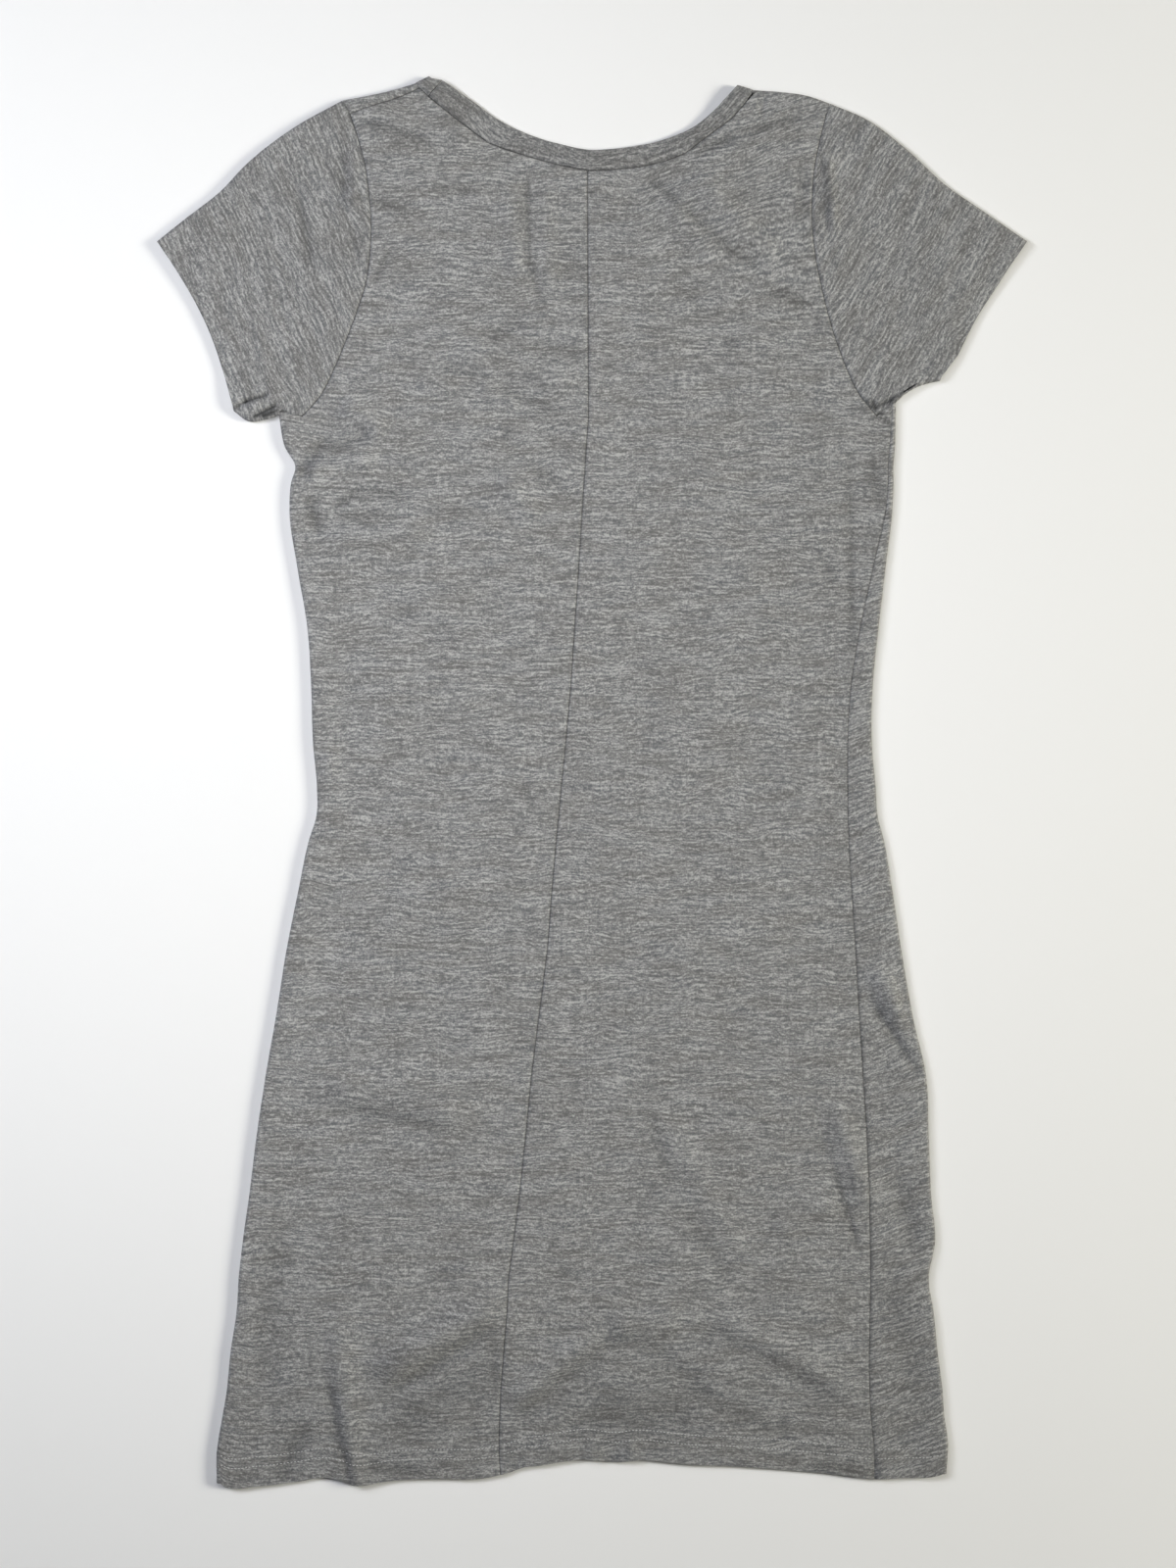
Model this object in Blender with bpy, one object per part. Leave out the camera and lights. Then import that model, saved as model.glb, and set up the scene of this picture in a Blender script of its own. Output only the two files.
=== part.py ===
"""A short-sleeved jersey t-shirt dress, laid flat on its front with its back up.

Axes: +Z up from the table, +Y from hem to neck, +X to the right hand of someone who looks down on the dress
with its neck away from them. The origin is on the table under the middle of the outline. Sizes are in
millimetres and are turned to metres where the meshes are made.
"""

import bmesh
import bpy
import numpy as np

# Cloth
WALL = 1.2  # jersey with the air in its loops
BAND_WALL = 1.6  # neckband, jersey folded double
SEAM_GAP = 0.3
CORNER_GAP = 1.4  # between body and sleeve where both turn over their folds under the arm
CORNER_REACH = 4.0
FOLD_R = 2.0  # radius of the middle of the cloth where it turns over a fold
REST_Z = WALL / 2 + WALL + SEAM_GAP  # middle of the upper layer where it lies on the lower one
FOLD_TOP_Z = WALL / 2 + 2 * FOLD_R
FOLD_IN = WALL / 2 + FOLD_R  # from the outline to the crown of a fold
SETTLE = 24.0  # length over which the upper layer comes down from a fold

# Neck
BAND_WIDTH = 12.5
BAND_JOINT = 0.12  # between the ends of the band before both are drawn back from their seam
FRONT_DEPTH = 112.0  # front neckline below the shoulders; it lies hidden under the back
OVER_BAND = 0.6  # the back rises this much over the hidden front band

# Columns of the panels
LEFT_COLUMNS = 9
RIGHT_COLUMNS = 11
SHOULDER_COLUMNS = 3
FRONT_NECK_COLUMNS = 12
SLEEVE_ROWS = 7
SIDE_IN = 15.0  # from the left outline to the end of the armhole and to the hidden side seam
SEAM_STEP = 8.4  # from the right side seam to the first full column of the back

# Level of each section of the body from hem to underarm: left outline, right outline, centre-back seam,
# and how far the right side seam lies in from the right outline
BODY = (
    # y, left, right, centre, strip
    (-444.2, -237.5, 224.4, -57.7, 45.5),
    (-422.5, -237.4, 225.4, -58.9, 46.8),
    (-403.9, -234.4, 223.2, -58.6, 46.5),
    (-385.3, -231.3, 222.0, -57.7, 46.2),
    (-360.5, -228.8, 218.9, -55.8, 43.4),
    (-335.7, -225.1, 216.4, -53.9, 40.3),
    (-314.7, -223.8, 213.3, -53.0, 37.0),
    (-292.3, -221.3, 217.3, -49.9, 41.2),
    (-261.3, -217.0, 214.8, -45.9, 39.4),
    (-224.1, -212.4, 213.3, -41.9, 39.4),
    (-186.9, -206.8, 211.7, -38.4, 40.0),
    (-149.7, -200.3, 203.4, -33.8, 34.1),
    (-106.3, -193.4, 195.9, -28.2, 29.1),
    (-69.1, -186.0, 190.3, -25.4, 26.0),
    (-36.9, -179.2, 184.8, -22.6, 22.3),
    (-22.0, -174.6, 181.0, -21.2, 19.0),
    (-4.0, -174.2, 179.8, -19.5, 18.0),
    (23.9, -176.7, 177.3, -16.7, 15.5),
    (61.1, -177.9, 177.9, -13.3, 14.0),
    (98.3, -180.4, 181.7, -10.9, 11.8),
    (135.5, -186.6, 186.0, -8.4, 8.1),
    (172.7, -191.6, 190.3, -6.1, 4.3),
    (189.0, -190.6, 191.0, -5.1, 3.6),
    (200.0, -187.9, 191.0, -4.3, 3.6),
    (211.1, -194.1, 191.9, -3.7, 3.6),
)
UNDERARM_Y = 231.0
CENTRE_AT_UNDERARM = -2.2

# How far the hem lies above its lowest section at each x
HEM = (
    # x, rise
    (-237.0, 0.5),
    (-229.0, -2.4),
    (-204.0, -2.4),
    (-186.0, 0.6),
    (-176.0, 2.4),
    (-158.0, 3.2),
    (-150.0, -0.8),
    (-144.0, -1.0),
    (-129.0, 0.7),
    (-62.0, 1.9),
    (-52.0, 7.4),
    (-36.0, 10.5),
    (-18.0, 13.6),
    (10.0, 13.2),
    (28.0, 15.0),
    (56.0, 12.6),
    (95.0, 10.4),
    (122.0, 8.6),
    (159.0, 5.1),
    (190.0, 2.3),
    (208.0, 4.2),
    (224.0, 6.0),
)
HEM_FADE = 70.0

# Armhole seams from underarm to shoulder: on the back, and on the front under it
ARMHOLE = (
    # y, left, right, front_in
    (231.0, -183.5, 180.4, 0.0),
    (246.0, -170.8, 168.5, 3.0),
    (262.0, -163.0, 161.0, 6.0),
    (280.0, -155.5, 154.4, 8.5),
    (298.0, -148.7, 149.0, 10.0),
    (316.0, -143.0, 144.6, 10.5),
    (334.0, -140.6, 141.2, 10.5),
    (352.0, -139.8, 139.4, 10.0),
    (370.0, -141.0, 139.4, 9.0),
    (388.0, -143.3, 140.8, 7.0),
    (404.0, -147.2, 143.8, 4.0),
    (422.0, -153.0, 148.3, 0.0),
)

# Outline of each shoulder from armhole to neck, and how far in from it the left shoulder seam lies
SHOULDER = (
    # left_x, left_y, right_x, right_y, seam_in
    (-158.0, 431.2, 150.7, 429.2, 10.0),
    (-142.7, 434.0, 136.0, 434.2, 7.4),
    (-127.0, 437.4, 118.5, 436.6, 6.4),
    (-112.0, 441.9, 102.3, 437.6, 4.4),
)

# Back neckband from left to right: its seam and its free edge
NECK = (
    # seam_x, seam_y, edge_x, edge_y
    (-103.5, 433.4, -94.5, 443.5),
    (-84.3, 418.2, -76.3, 431.2),
    (-65.1, 404.5, -58.5, 418.8),
    (-39.7, 395.9, -35.3, 408.3),
    (-21.7, 390.9, -19.2, 403.6),
    (-2.9, 387.2, -1.9, 400.2),
    (13.0, 387.8, 12.4, 400.8),
    (31.3, 389.7, 28.5, 403.0),
    (47.1, 393.4, 42.2, 405.8),
    (59.5, 398.4, 53.9, 409.8),
    (71.9, 407.7, 64.5, 414.8),
    (88.0, 419.5, 78.7, 426.3),
    (94.9, 427.0, 85.0, 433.0),
)
CENTRE_SECTION = 5
EDGE_CORNERS = ((-103.5, 446.1), (92.3, 440.7))

# Sleeve outlines: over the shoulder from armhole to tip, and under the arm from body to hem
OVER_ARM = (
    # left_x, left_y, right_x, right_y
    (-158.0, 431.2, 150.7, 429.2),
    (-186.6, 415.4, 172.4, 420.0),
    (-218.2, 391.5, 197.8, 401.5),
    (-236.0, 373.0, 224.4, 377.3),
    (-256.0, 357.5, 246.8, 361.8),
    (-275.6, 341.9, 275.6, 341.9),
)
UNDER_ARM = (
    # left_x, left_y, right_x, right_y
    (-198.2, 232.2, 192.5, 240.0),
    (-207.0, 229.2, 199.0, 246.0),
    (-217.0, 228.0, 208.0, 250.6),
    (-226.5, 234.5, 219.9, 253.9),
)
SLEEVE_HEM = (
    # left_x, left_y, right_x, right_y
    (-232.5, 255.8, 231.5, 269.3),
    (-240.3, 279.3, 244.9, 295.4),
    (-251.1, 302.9, 255.0, 311.0),
    (-262.3, 322.1, 264.1, 325.2),
)

# Directions in which the folds lead in from the outline
SHOULDER_DIRECTIONS = ((0.48, -0.88), (-0.31, -0.95))
TIP_DIRECTIONS = ((0.57, -0.82), (-0.56, -0.83))
CORNER_DIRECTIONS = ((0.57, 0.82), (-0.89, 0.45))
CUFF_DIRECTIONS = ((-0.28, 0.96), (0.59, 0.81))
NECK_DIRECTIONS = ((0.72, -0.69), (-0.57, -0.82))
EDGE_DIRECTIONS = ((0.85, -0.53), (-0.69, -0.73))

# Soft ridges of the upper layer, each along a line
CREASES = (
    # x0, y0, x1, y1, half_width, height
    (-156.2, -338.8, -150.0, -440.0, 11.0, 3.0),
    (-129.6, -372.9, -61.4, -341.9, 13.0, 3.0),
    (-169.9, -198.1, -70.7, -217.9, 13.0, 2.0),
    (174.2, -124.9, 211.0, -176.0, 10.0, 2.4),
    (152.5, -199.3, 174.2, -279.9, 12.0, 2.4),
    (-164.9, 17.7, -178.0, -31.9, 10.0, 2.0),
    (-177.3, 182.0, -145.0, 197.5, 10.0, 2.4),
    (-169.9, 147.9, -114.1, 166.5, 10.0, 2.0),
    (-39.7, -388.4, 22.3, -343.2, 16.0, 2.2),
    (53.3, -332.6, 158.7, -369.8, 16.0, 2.4),
    (71.9, 377.3, 132.0, 318.0, 12.0, 1.4),
)

LEFT, RIGHT = 0, 1
FOLD_ANGLES = np.radians((-90, -60, -30, 0, 30, 60, 90))


def column_pairs(table, side):
    """The x and y columns of one side of a table that has both sides."""
    return np.array([row[2 * side : 2 * side + 2] for row in table])


def even_line(points, intervals):
    """Evenly spaced points along a smooth line through the given ones."""
    given = np.array(points, float)
    ends = np.vstack([2 * given[0] - given[1], given, 2 * given[-1] - given[-2]])
    fine = []
    for k in range(len(given) - 1):
        a, b, c, d = ends[k : k + 4]
        for t in np.linspace(0, 1, 12, endpoint=False):
            bend = (2 * a - 5 * b + 4 * c - d) * t * t + (3 * b - a - 3 * c + d) * t**3
            fine.append(b + 0.5 * ((c - a) * t + bend))
    fine = np.array(fine + [given[-1]])
    run = np.concatenate([[0], np.cumsum(np.linalg.norm(np.diff(fine, axis=0), axis=1))])
    wanted = np.linspace(0, run[-1], intervals + 1)
    return np.column_stack([np.interp(wanted, run, fine[:, 0]), np.interp(wanted, run, fine[:, 1])])


def between(a, b, intervals):
    """Evenly spaced points on the straight line from a to b."""
    share = np.linspace(0, 1, intervals + 1)[:, None]
    return (1 - share) * np.asarray(a, float) + share * np.asarray(b, float)


def unit(vector):
    return np.asarray(vector, float) / np.linalg.norm(vector)


def smooth_step(value):
    value = np.clip(value, 0, 1)
    return value * value * (3 - 2 * value)


def line_distance(plan, line):
    """Distance of each plan point from a chain of straight lines."""
    best = np.full(plan.shape[:-1], np.inf)
    for a, b in zip(line[:-1], line[1:]):
        along = np.clip(((plan - a) @ (b - a)) / ((b - a) @ (b - a)), 0, 1)
        foot = a + along[..., None] * (b - a)
        best = np.minimum(best, np.linalg.norm(plan - foot, axis=-1))
    return best


def fold_lines():
    """The outline wherever the cloth turns over from the back to the front."""
    lines = []
    for side in (LEFT, RIGHT):
        flank = np.array([(row[1 + side], row[0]) for row in BODY])
        lines.append(np.vstack([flank, column_pairs(UNDER_ARM, side)]))
        over = np.vstack([column_pairs(OVER_ARM, side)[::-1], column_pairs(SHOULDER, side)[1:]])
        lines.append(np.vstack([over, [EDGE_CORNERS[side]]]))
    return lines


def front_neck():
    """Seam of the front neckband on the lower layer, from the left shoulder to the right."""
    starts = [fold_plan(SHOULDER, side, -1, NECK_DIRECTIONS[side], FOLD_IN) for side in (LEFT, RIGHT)]
    middle = (starts[0] + starts[1]) / 2
    half = (starts[1] - starts[0]) / 2
    turn = np.radians(np.linspace(-90, 90, FRONT_NECK_COLUMNS + 1))[:, None]
    return middle + half * np.sin(turn) + np.array([0, -FRONT_DEPTH]) * np.cos(turn)


def fold_plan(table, side, row, direction, inwards):
    """Plan point a given way in from one row of an outline."""
    return column_pairs(table, side)[row] + unit(direction) * inwards


def upper_z(plan):
    """Height of the middle of the upper layer."""
    plan = np.asarray(plan, float)
    away = np.min([line_distance(plan, line) for line in FOLD_LINES], axis=0)
    height = REST_Z + OVER_BAND * smooth_step((plan[..., 1] - 295) / 25)
    for x0, y0, x1, y1, half_width, tall in CREASES:
        off = line_distance(plan, np.array([(x0, y0), (x1, y1)]))
        height = height + tall * np.exp(-((off / half_width) ** 2))
    neck = np.interp(plan[..., 0], FRONT_NECK[:, 0], FRONT_NECK[:, 1], left=999, right=999)
    inside = np.where(plan[..., 1] > neck, line_distance(plan, FRONT_NECK) - BAND_WIDTH, 0)
    height = height - (REST_Z + OVER_BAND - WALL / 2 - SEAM_GAP) * smooth_step(inside / 26)
    puff = 1 - smooth_step((away - FOLD_IN) / SETTLE)
    return height + (FOLD_TOP_Z - height) * puff


def upper(plan):
    """Plan points lifted to the upper layer."""
    plan = np.asarray(plan, float)
    return np.concatenate([plan, upper_z(plan)[..., None]], axis=-1)


def lower(plan, height=WALL / 2):
    """Plan points on the layer that lies on the table."""
    plan = np.asarray(plan, float)
    return np.concatenate([plan, np.full(plan.shape[:-1] + (1,), height)], axis=-1)


def turn_over(edge, direction, angles=FOLD_ANGLES, lift=0.0):
    """Points round a fold, from the lower layer at -90 degrees to the upper one at 90 degrees."""
    way = unit(direction)
    points = []
    for angle in angles:
        plan = edge + way * (FOLD_IN - FOLD_R * np.cos(angle))
        points.append((plan[0], plan[1], WALL / 2 + FOLD_R + FOLD_R * np.sin(angle) + lift))
    return np.array(points)


def shares_of(line):
    """How far along its whole length each point of a line lies."""
    run = np.concatenate([[0], np.cumsum(np.linalg.norm(np.diff(line, axis=0), axis=1))])
    return run / run[-1]


def beside(line, start, end):
    """Points on the straight line from start to end, spaced as those of another line are."""
    share = shares_of(line)[:, None]
    return (1 - share) * start + share * end


def patch(bottom, top, left, right, left_reach=1.0, right_reach=1.0):
    """Plan grid between four boundary lines: rows go from bottom to top, columns from left to right.

    The curve of a side is taken up by the columns within its reach, a share of the width.
    """
    u = np.linspace(0, 1, len(bottom))[None, :, None]
    v = ((shares_of(left) + shares_of(right)) / 2)[:, None, None]
    grid = (1 - v) * bottom[None] + v * top[None]
    for line, share in ((left, 1 - u / left_reach), (right, 1 - (1 - u) / right_reach)):
        curve = line[:, None] - (1 - v) * line[0] - v * line[-1]
        grid = grid + np.clip(share, 0, 1) * curve
    return grid


def hem_shift(plan, level):
    """The sections near the hem follow its uneven line."""
    xs, rises = np.array(HEM).T
    fade = 1 - smooth_step((level - BODY[0][0]) / HEM_FADE)
    return plan + np.column_stack([np.zeros(len(plan)), np.interp(plan[:, 0], xs, rises) * fade])


def body_rows(make):
    """One strip of the body, a row of plan points or of space points for each section."""
    return np.array([make(section) for section in BODY])


def underarm(side):
    """Points of the armhole seam under the arm: the fold there, and the end of the armhole."""
    corner = column_pairs(UNDER_ARM, side)[0]
    crown = corner + unit(CORNER_DIRECTIONS[side]) * FOLD_IN
    end = np.array([ARMHOLE[0][1 + side], ARMHOLE[0][0]])
    return corner, crown, end


def armhole(side, front=False):
    """Armhole seam from underarm to shoulder, on the back or on the front."""
    inwards = (1, -1)[side]
    return np.array([(row[1 + side] + (inwards * row[3] if front else 0), row[0]) for row in ARMHOLE])


def shoulder_directions(side):
    start, end = np.array(SHOULDER_DIRECTIONS[side]), np.array(NECK_DIRECTIONS[side])
    return [unit(start + (end - start) * k / SHOULDER_COLUMNS) for k in range(SHOULDER_COLUMNS + 1)]


def shoulder_line(side, inwards):
    """Plan points along a shoulder, a given way in from its outline."""
    ways = shoulder_directions(side)
    edge = column_pairs(SHOULDER, side)
    return np.array([edge[k] + ways[k] * np.broadcast_to(inwards, 4)[k] for k in range(4)])


def shoulder_seam():
    return shoulder_line(LEFT, [row[4] for row in SHOULDER])


def neck_line(first, last):
    return np.array([row[:2] for row in NECK[first : last + 1]])


def sleeve_direction(start, end, share):
    return unit(np.array(start) * (1 - share) + np.array(end) * share)


def make_cloth(name, grids, wall, colour):
    """One closed piece of cloth from grids of points on its middle surface."""
    shape = bmesh.new()
    for grid in grids:
        points = [[shape.verts.new(p * 0.001) for p in row] for row in grid]
        for row, following in zip(points[:-1], points[1:]):
            for a, b, c, d in zip(row[:-1], row[1:], following[1:], following[:-1]):
                shape.faces.new((a, b, c, d))
    bmesh.ops.remove_doubles(shape, verts=shape.verts, dist=0.00005)
    bmesh.ops.recalc_face_normals(shape, faces=shape.faces)
    draw_in_edges(shape)
    mesh = bpy.data.meshes.new(name)
    shape.to_mesh(mesh)
    shape.free()
    cloth = bpy.data.objects.new(name, mesh)
    bpy.context.scene.collection.objects.link(cloth)
    mesh.materials.append(jersey(name, colour))
    mesh.shade_smooth()
    thick = cloth.modifiers.new("wall", "SOLIDIFY")
    thick.thickness = wall * 0.001
    thick.offset = 0
    thick.use_even_offset = True
    bpy.context.view_layer.update()
    graph = bpy.context.evaluated_depsgraph_get()
    solid = bpy.data.meshes.new_from_object(cloth.evaluated_get(graph))
    for vert in solid.vertices:
        vert.co.z = max(vert.co.z, 0.0)
    cloth.modifiers.clear()
    cloth.data = solid
    return cloth


def draw_in_edges(shape):
    """Moves each free edge back from its seam line, and further where body and sleeve meet under the arm."""
    corners = [column_pairs(UNDER_ARM, side)[0] for side in (LEFT, RIGHT)]
    moves = {}
    for vert in shape.verts:
        inward = []
        for edge in vert.link_edges:
            if edge.is_boundary:
                face = edge.link_faces[0]
                along = (edge.verts[1].co - edge.verts[0].co).normalized()
                way = face.normal.cross(along)
                if way.dot(face.calc_center_median() - vert.co) < 0:
                    way.negate()
                inward.append(way.normalized())
        if len(inward) == 2:
            plan = np.array(vert.co[:2]) * 1000
            near = min(np.linalg.norm(plan - corner) for corner in corners) < CORNER_REACH
            amount = (CORNER_GAP if near else SEAM_GAP) / 2 * 0.001
            moves[vert] = (inward[0] + inward[1]) * (amount / max(1 + inward[0].dot(inward[1]), 0.4))
    for vert, move in moves.items():
        vert.co += move


def jersey(name, colour):
    """Grey melange jersey."""
    material = bpy.data.materials.new(name)
    material.use_nodes = True
    surface = material.node_tree.nodes["Principled BSDF"]
    surface.inputs["Base Color"].default_value = (*colour, 1)
    surface.inputs["Roughness"].default_value = 0.9
    return material


def back_left():
    """Left back panel: from the centre-back seam over the left fold to the side seam under it."""
    def main(row):
        y, left, _, centre, _ = row
        return hem_shift(between((left + SIDE_IN, y), (centre, y), LEFT_COLUMNS), y)

    def fold(row):
        y, left, _, _, _ = row
        edge = hem_shift(np.array([(left, y)]), y)[0]
        inner = hem_shift(np.array([(left + SIDE_IN, y)]), y)[0]
        return left_fold(edge, (1, 0), inner)

    corner, _, end = underarm(LEFT)
    centre = np.array([CENTRE_AT_UNDERARM, UNDERARM_Y])
    top_row = between(end, centre, LEFT_COLUMNS)
    lower_part = np.vstack([body_rows(main), top_row[None]])
    flank = np.vstack([body_rows(fold), left_fold(corner, CORNER_DIRECTIONS[LEFT], end)[None]])
    top_line = np.vstack([shoulder_seam(), neck_line(0, CENTRE_SECTION)])
    seam_side = beside(armhole(LEFT), centre, top_line[-1])
    upper_part = patch(top_row, top_line, armhole(LEFT), seam_side, SHOULDER_COLUMNS / LEFT_COLUMNS)
    return make_cloth("back_left", [upper(lower_part), flank, upper(upper_part)], WALL, (0.27, 0.27, 0.265))


def left_fold(edge, direction, inner):
    """Row of points across the left fold, from the back to the side seam on the front side."""
    crown = edge + unit(direction) * FOLD_IN
    return np.vstack([upper(between(inner, crown, 2))[:-1], turn_over(edge, direction)[::-1], lower([inner])])


def back_right():
    """Right back panel: from the centre-back seam to the side seam, which shows on this side."""
    def main(row):
        y, _, right, centre, strip = row
        return hem_shift(between((centre, y), (right - strip - SEAM_STEP, y), RIGHT_COLUMNS), y)

    def side(row):
        y, _, right, _, strip = row
        return hem_shift(between((right - strip - SEAM_STEP, y), (right - strip, y), 2), y)

    _, crown, end = underarm(RIGHT)
    centre = np.array([CENTRE_AT_UNDERARM, UNDERARM_Y])
    top_row = between(centre, end, RIGHT_COLUMNS)
    lower_part = np.vstack([body_rows(main), top_row[None]])
    side_part = np.vstack([body_rows(side), between(end, crown + (end - crown) * 0.12, 2)[None]])
    crowns = shoulder_line(RIGHT, FOLD_IN)
    top_line = np.vstack([neck_line(CENTRE_SECTION, len(NECK) - 1), crowns[::-1]])
    side_line = np.vstack([armhole(RIGHT), between(armhole(RIGHT)[-1], crowns[0], 2)[1:]])
    seam_side = beside(side_line, centre, top_line[0])
    upper_part = patch(top_row, top_line, seam_side, side_line, 1, SHOULDER_COLUMNS / RIGHT_COLUMNS)
    lip = shoulder_fold(RIGHT, FOLD_ANGLES[3:])
    grids = [upper(lower_part), upper(side_part), upper(upper_part), lip]
    return make_cloth("back_right", grids, WALL, (0.27, 0.27, 0.265))


def shoulder_fold(side, angles):
    ways = shoulder_directions(side)
    edges = column_pairs(SHOULDER, side)
    return np.array([turn_over(edges[k], ways[k], angles) for k in range(SHOULDER_COLUMNS + 1)])


def front():
    """Front panel, on the table: it turns up over the right fold and over the left shoulder."""
    columns = 2 * SHOULDER_COLUMNS + FRONT_NECK_COLUMNS

    def main(row):
        y, left, right, _, _ = row
        return hem_shift(between((left + SIDE_IN, y), (right - SIDE_IN, y), columns), y)

    def fold(row):
        y, _, right, _, strip = row
        edge, seam, inner = hem_shift(np.array([(right, y), (right - strip, y), (right - SIDE_IN, y)]), y)
        return right_fold(edge, (-1, 0), seam, inner)

    corner, crown, end = underarm(RIGHT)
    top_row = between(underarm(LEFT)[2], end, columns)
    lower_part = np.vstack([body_rows(main), top_row[None]])
    seam_end = crown + (end - crown) * 0.12
    flank = np.vstack([body_rows(fold), right_fold(corner, CORNER_DIRECTIONS[RIGHT], seam_end, end)[None]])
    turns = [shoulder_line(side, FOLD_IN) for side in (LEFT, RIGHT)]
    top_line = np.vstack([turns[LEFT], FRONT_NECK[1:-1], turns[RIGHT][::-1]])
    sides = [np.vstack([armhole(side, True), turns[side][:1]]) for side in (LEFT, RIGHT)]
    reach = SHOULDER_COLUMNS / columns
    upper_part = patch(top_row, top_line, sides[LEFT], sides[RIGHT], reach, reach)
    over_left = shoulder_fold(LEFT, FOLD_ANGLES)
    seam = shoulder_seam()
    to_seam = np.array([upper(between(turns[LEFT][k], seam[k], 2)) for k in range(SHOULDER_COLUMNS + 1)])
    to_seam[:, 0] = over_left[:, -1]
    over_right = shoulder_fold(RIGHT, FOLD_ANGLES[:4])
    grids = [lower(lower_part), flank, lower(upper_part), over_left, to_seam, over_right]
    return make_cloth("front", grids, WALL, (0.25, 0.25, 0.245))


def right_fold(edge, direction, seam, inner):
    """Row of points across the right fold, from the front to the side seam on the back side."""
    turned = turn_over(edge, direction)
    on_back = upper(between(turned[-1, :2], seam, 3))[1:]
    return np.vstack([lower([inner]), turned, on_back])


def sleeve(side):
    """Short sleeve, one piece closed under the arm and pressed flat."""
    over = even_line(column_pairs(OVER_ARM, side), SLEEVE_ROWS)
    under = even_line(column_pairs(UNDER_ARM, side), SLEEVE_ROWS)
    cuff = column_pairs(SLEEVE_HEM, side)
    shares = np.linspace(0, 1, SLEEVE_ROWS + 1)
    over_ways = [sleeve_direction(SHOULDER_DIRECTIONS[side], TIP_DIRECTIONS[side], k) for k in shares]
    under_ways = [sleeve_direction(CORNER_DIRECTIONS[side], CUFF_DIRECTIONS[side], k) for k in shares]
    tops = over + np.array(over_ways) * SHOULDER[0][4]
    tops[0] = armhole(side)[-1]
    bottoms = between(armhole(side)[1], cuff[0], SLEEVE_ROWS)
    hem = even_line(np.vstack([cuff, tops[-1:]]), len(ARMHOLE) - 2)
    layers = [
        upper(patch(armhole(side)[1:], hem, bottoms, tops)),
        lower(patch(armhole(side, True)[1:], hem, lower_side(side, bottoms), tops)),
    ]
    lower_bottoms = lower_side(side, bottoms)
    over_fold, under_fold = [], []
    for k in range(SLEEVE_ROWS + 1):
        over_fold.append(sleeve_fold(over[k], over_ways[k], tops[k], tops[k]))
        by_end = armhole(side)[0] if k == 0 else None
        under_fold.append(sleeve_fold(under[k], under_ways[k], bottoms[k], lower_bottoms[k], by_end))
    name = ("sleeve_left", "sleeve_right")[side]
    return make_cloth(name, layers + [np.array(over_fold), np.array(under_fold)], WALL, (0.26, 0.26, 0.255))


def lower_side(side, bottoms):
    """The same line of the sleeve on its lower layer, where the front armhole is cut a little deeper."""
    return between(armhole(side, True)[1], bottoms[-1], SLEEVE_ROWS)


def sleeve_fold(edge, direction, inner_upper, inner_lower, by_end=None):
    """Row of points across a fold of the sleeve. The first row under the arm goes by the armhole's end."""
    crown = edge + unit(direction) * FOLD_IN
    if by_end is None:
        on_back = between(inner_upper, crown, 3)
        on_front = between(crown, inner_lower, 3)
    else:
        on_back = np.vstack([[inner_upper], between(by_end, crown, 2)])
        on_front = np.vstack([between(crown, by_end, 2), [inner_lower]])
    return np.vstack([upper(on_back)[:-1], turn_over(edge, direction)[::-1], lower(on_front)[1:]])


def just_before(end, previous):
    """A point next to the end of the band, so that its two ends stay apart."""
    return end + unit(previous - end) * BAND_JOINT


def neckband():
    """Neckband, one strip round the neck whose ends meet near the left shoulder."""
    seam_side, edge_side = [], []

    def add(seam_points, edge_points):
        seam_side.extend(np.atleast_2d(seam_points))
        edge_side.extend(np.atleast_2d(edge_points))

    lift = BAND_WALL / 2 - WALL / 2
    rise = np.array([0, 0, lift])
    corners = [column_pairs(SHOULDER, side)[-1] for side in (LEFT, RIGHT)]
    edges = [np.array(corner) for corner in EDGE_CORNERS]
    left_seam = turn_over(corners[LEFT], NECK_DIRECTIONS[LEFT], lift=lift)
    left_edge = turn_over(edges[LEFT], EDGE_DIRECTIONS[LEFT], lift=lift)
    right_seam = turn_over(corners[RIGHT], NECK_DIRECTIONS[RIGHT], lift=lift)
    right_edge = turn_over(edges[RIGHT], EDGE_DIRECTIONS[RIGHT], lift=lift)
    back_seam = upper([row[:2] for row in NECK]) + rise
    back_edge = upper([row[2:] for row in NECK]) + rise
    front_seam = lower(FRONT_NECK, BAND_WALL / 2)
    along = np.gradient(FRONT_NECK, axis=0)
    across = np.column_stack([-along[:, 1], along[:, 0]]) / np.linalg.norm(along, axis=1)[:, None]
    front_edge = lower(FRONT_NECK + across * BAND_WIDTH, BAND_WALL / 2)
    knee = upper([shoulder_seam()[-1]]) + rise
    knee_edge = (left_edge[-1] * 2 + back_edge[0]) / 3
    add(back_seam[0], back_edge[0])
    add(back_seam[1:], back_edge[1:])
    add(right_seam[::-1], right_edge[::-1])
    add(front_seam[-2:0:-1], front_edge[-2:0:-1])
    add(left_seam, left_edge)
    add(knee, knee_edge)
    add(just_before(back_seam[0], knee[0]), just_before(back_edge[0], knee_edge))
    seams, free = np.array(seam_side), np.array(edge_side)
    middle = (seams + free) / 2
    return make_cloth("neckband", [np.array([seams, middle, free])], BAND_WALL, (0.23, 0.23, 0.225))


FRONT_NECK = front_neck()
FOLD_LINES = fold_lines()

for thing in list(bpy.data.objects):
    bpy.data.objects.remove(thing, do_unlink=True)
back_left()
back_right()
front()
sleeve(LEFT)
sleeve(RIGHT)
neckband()
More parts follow.
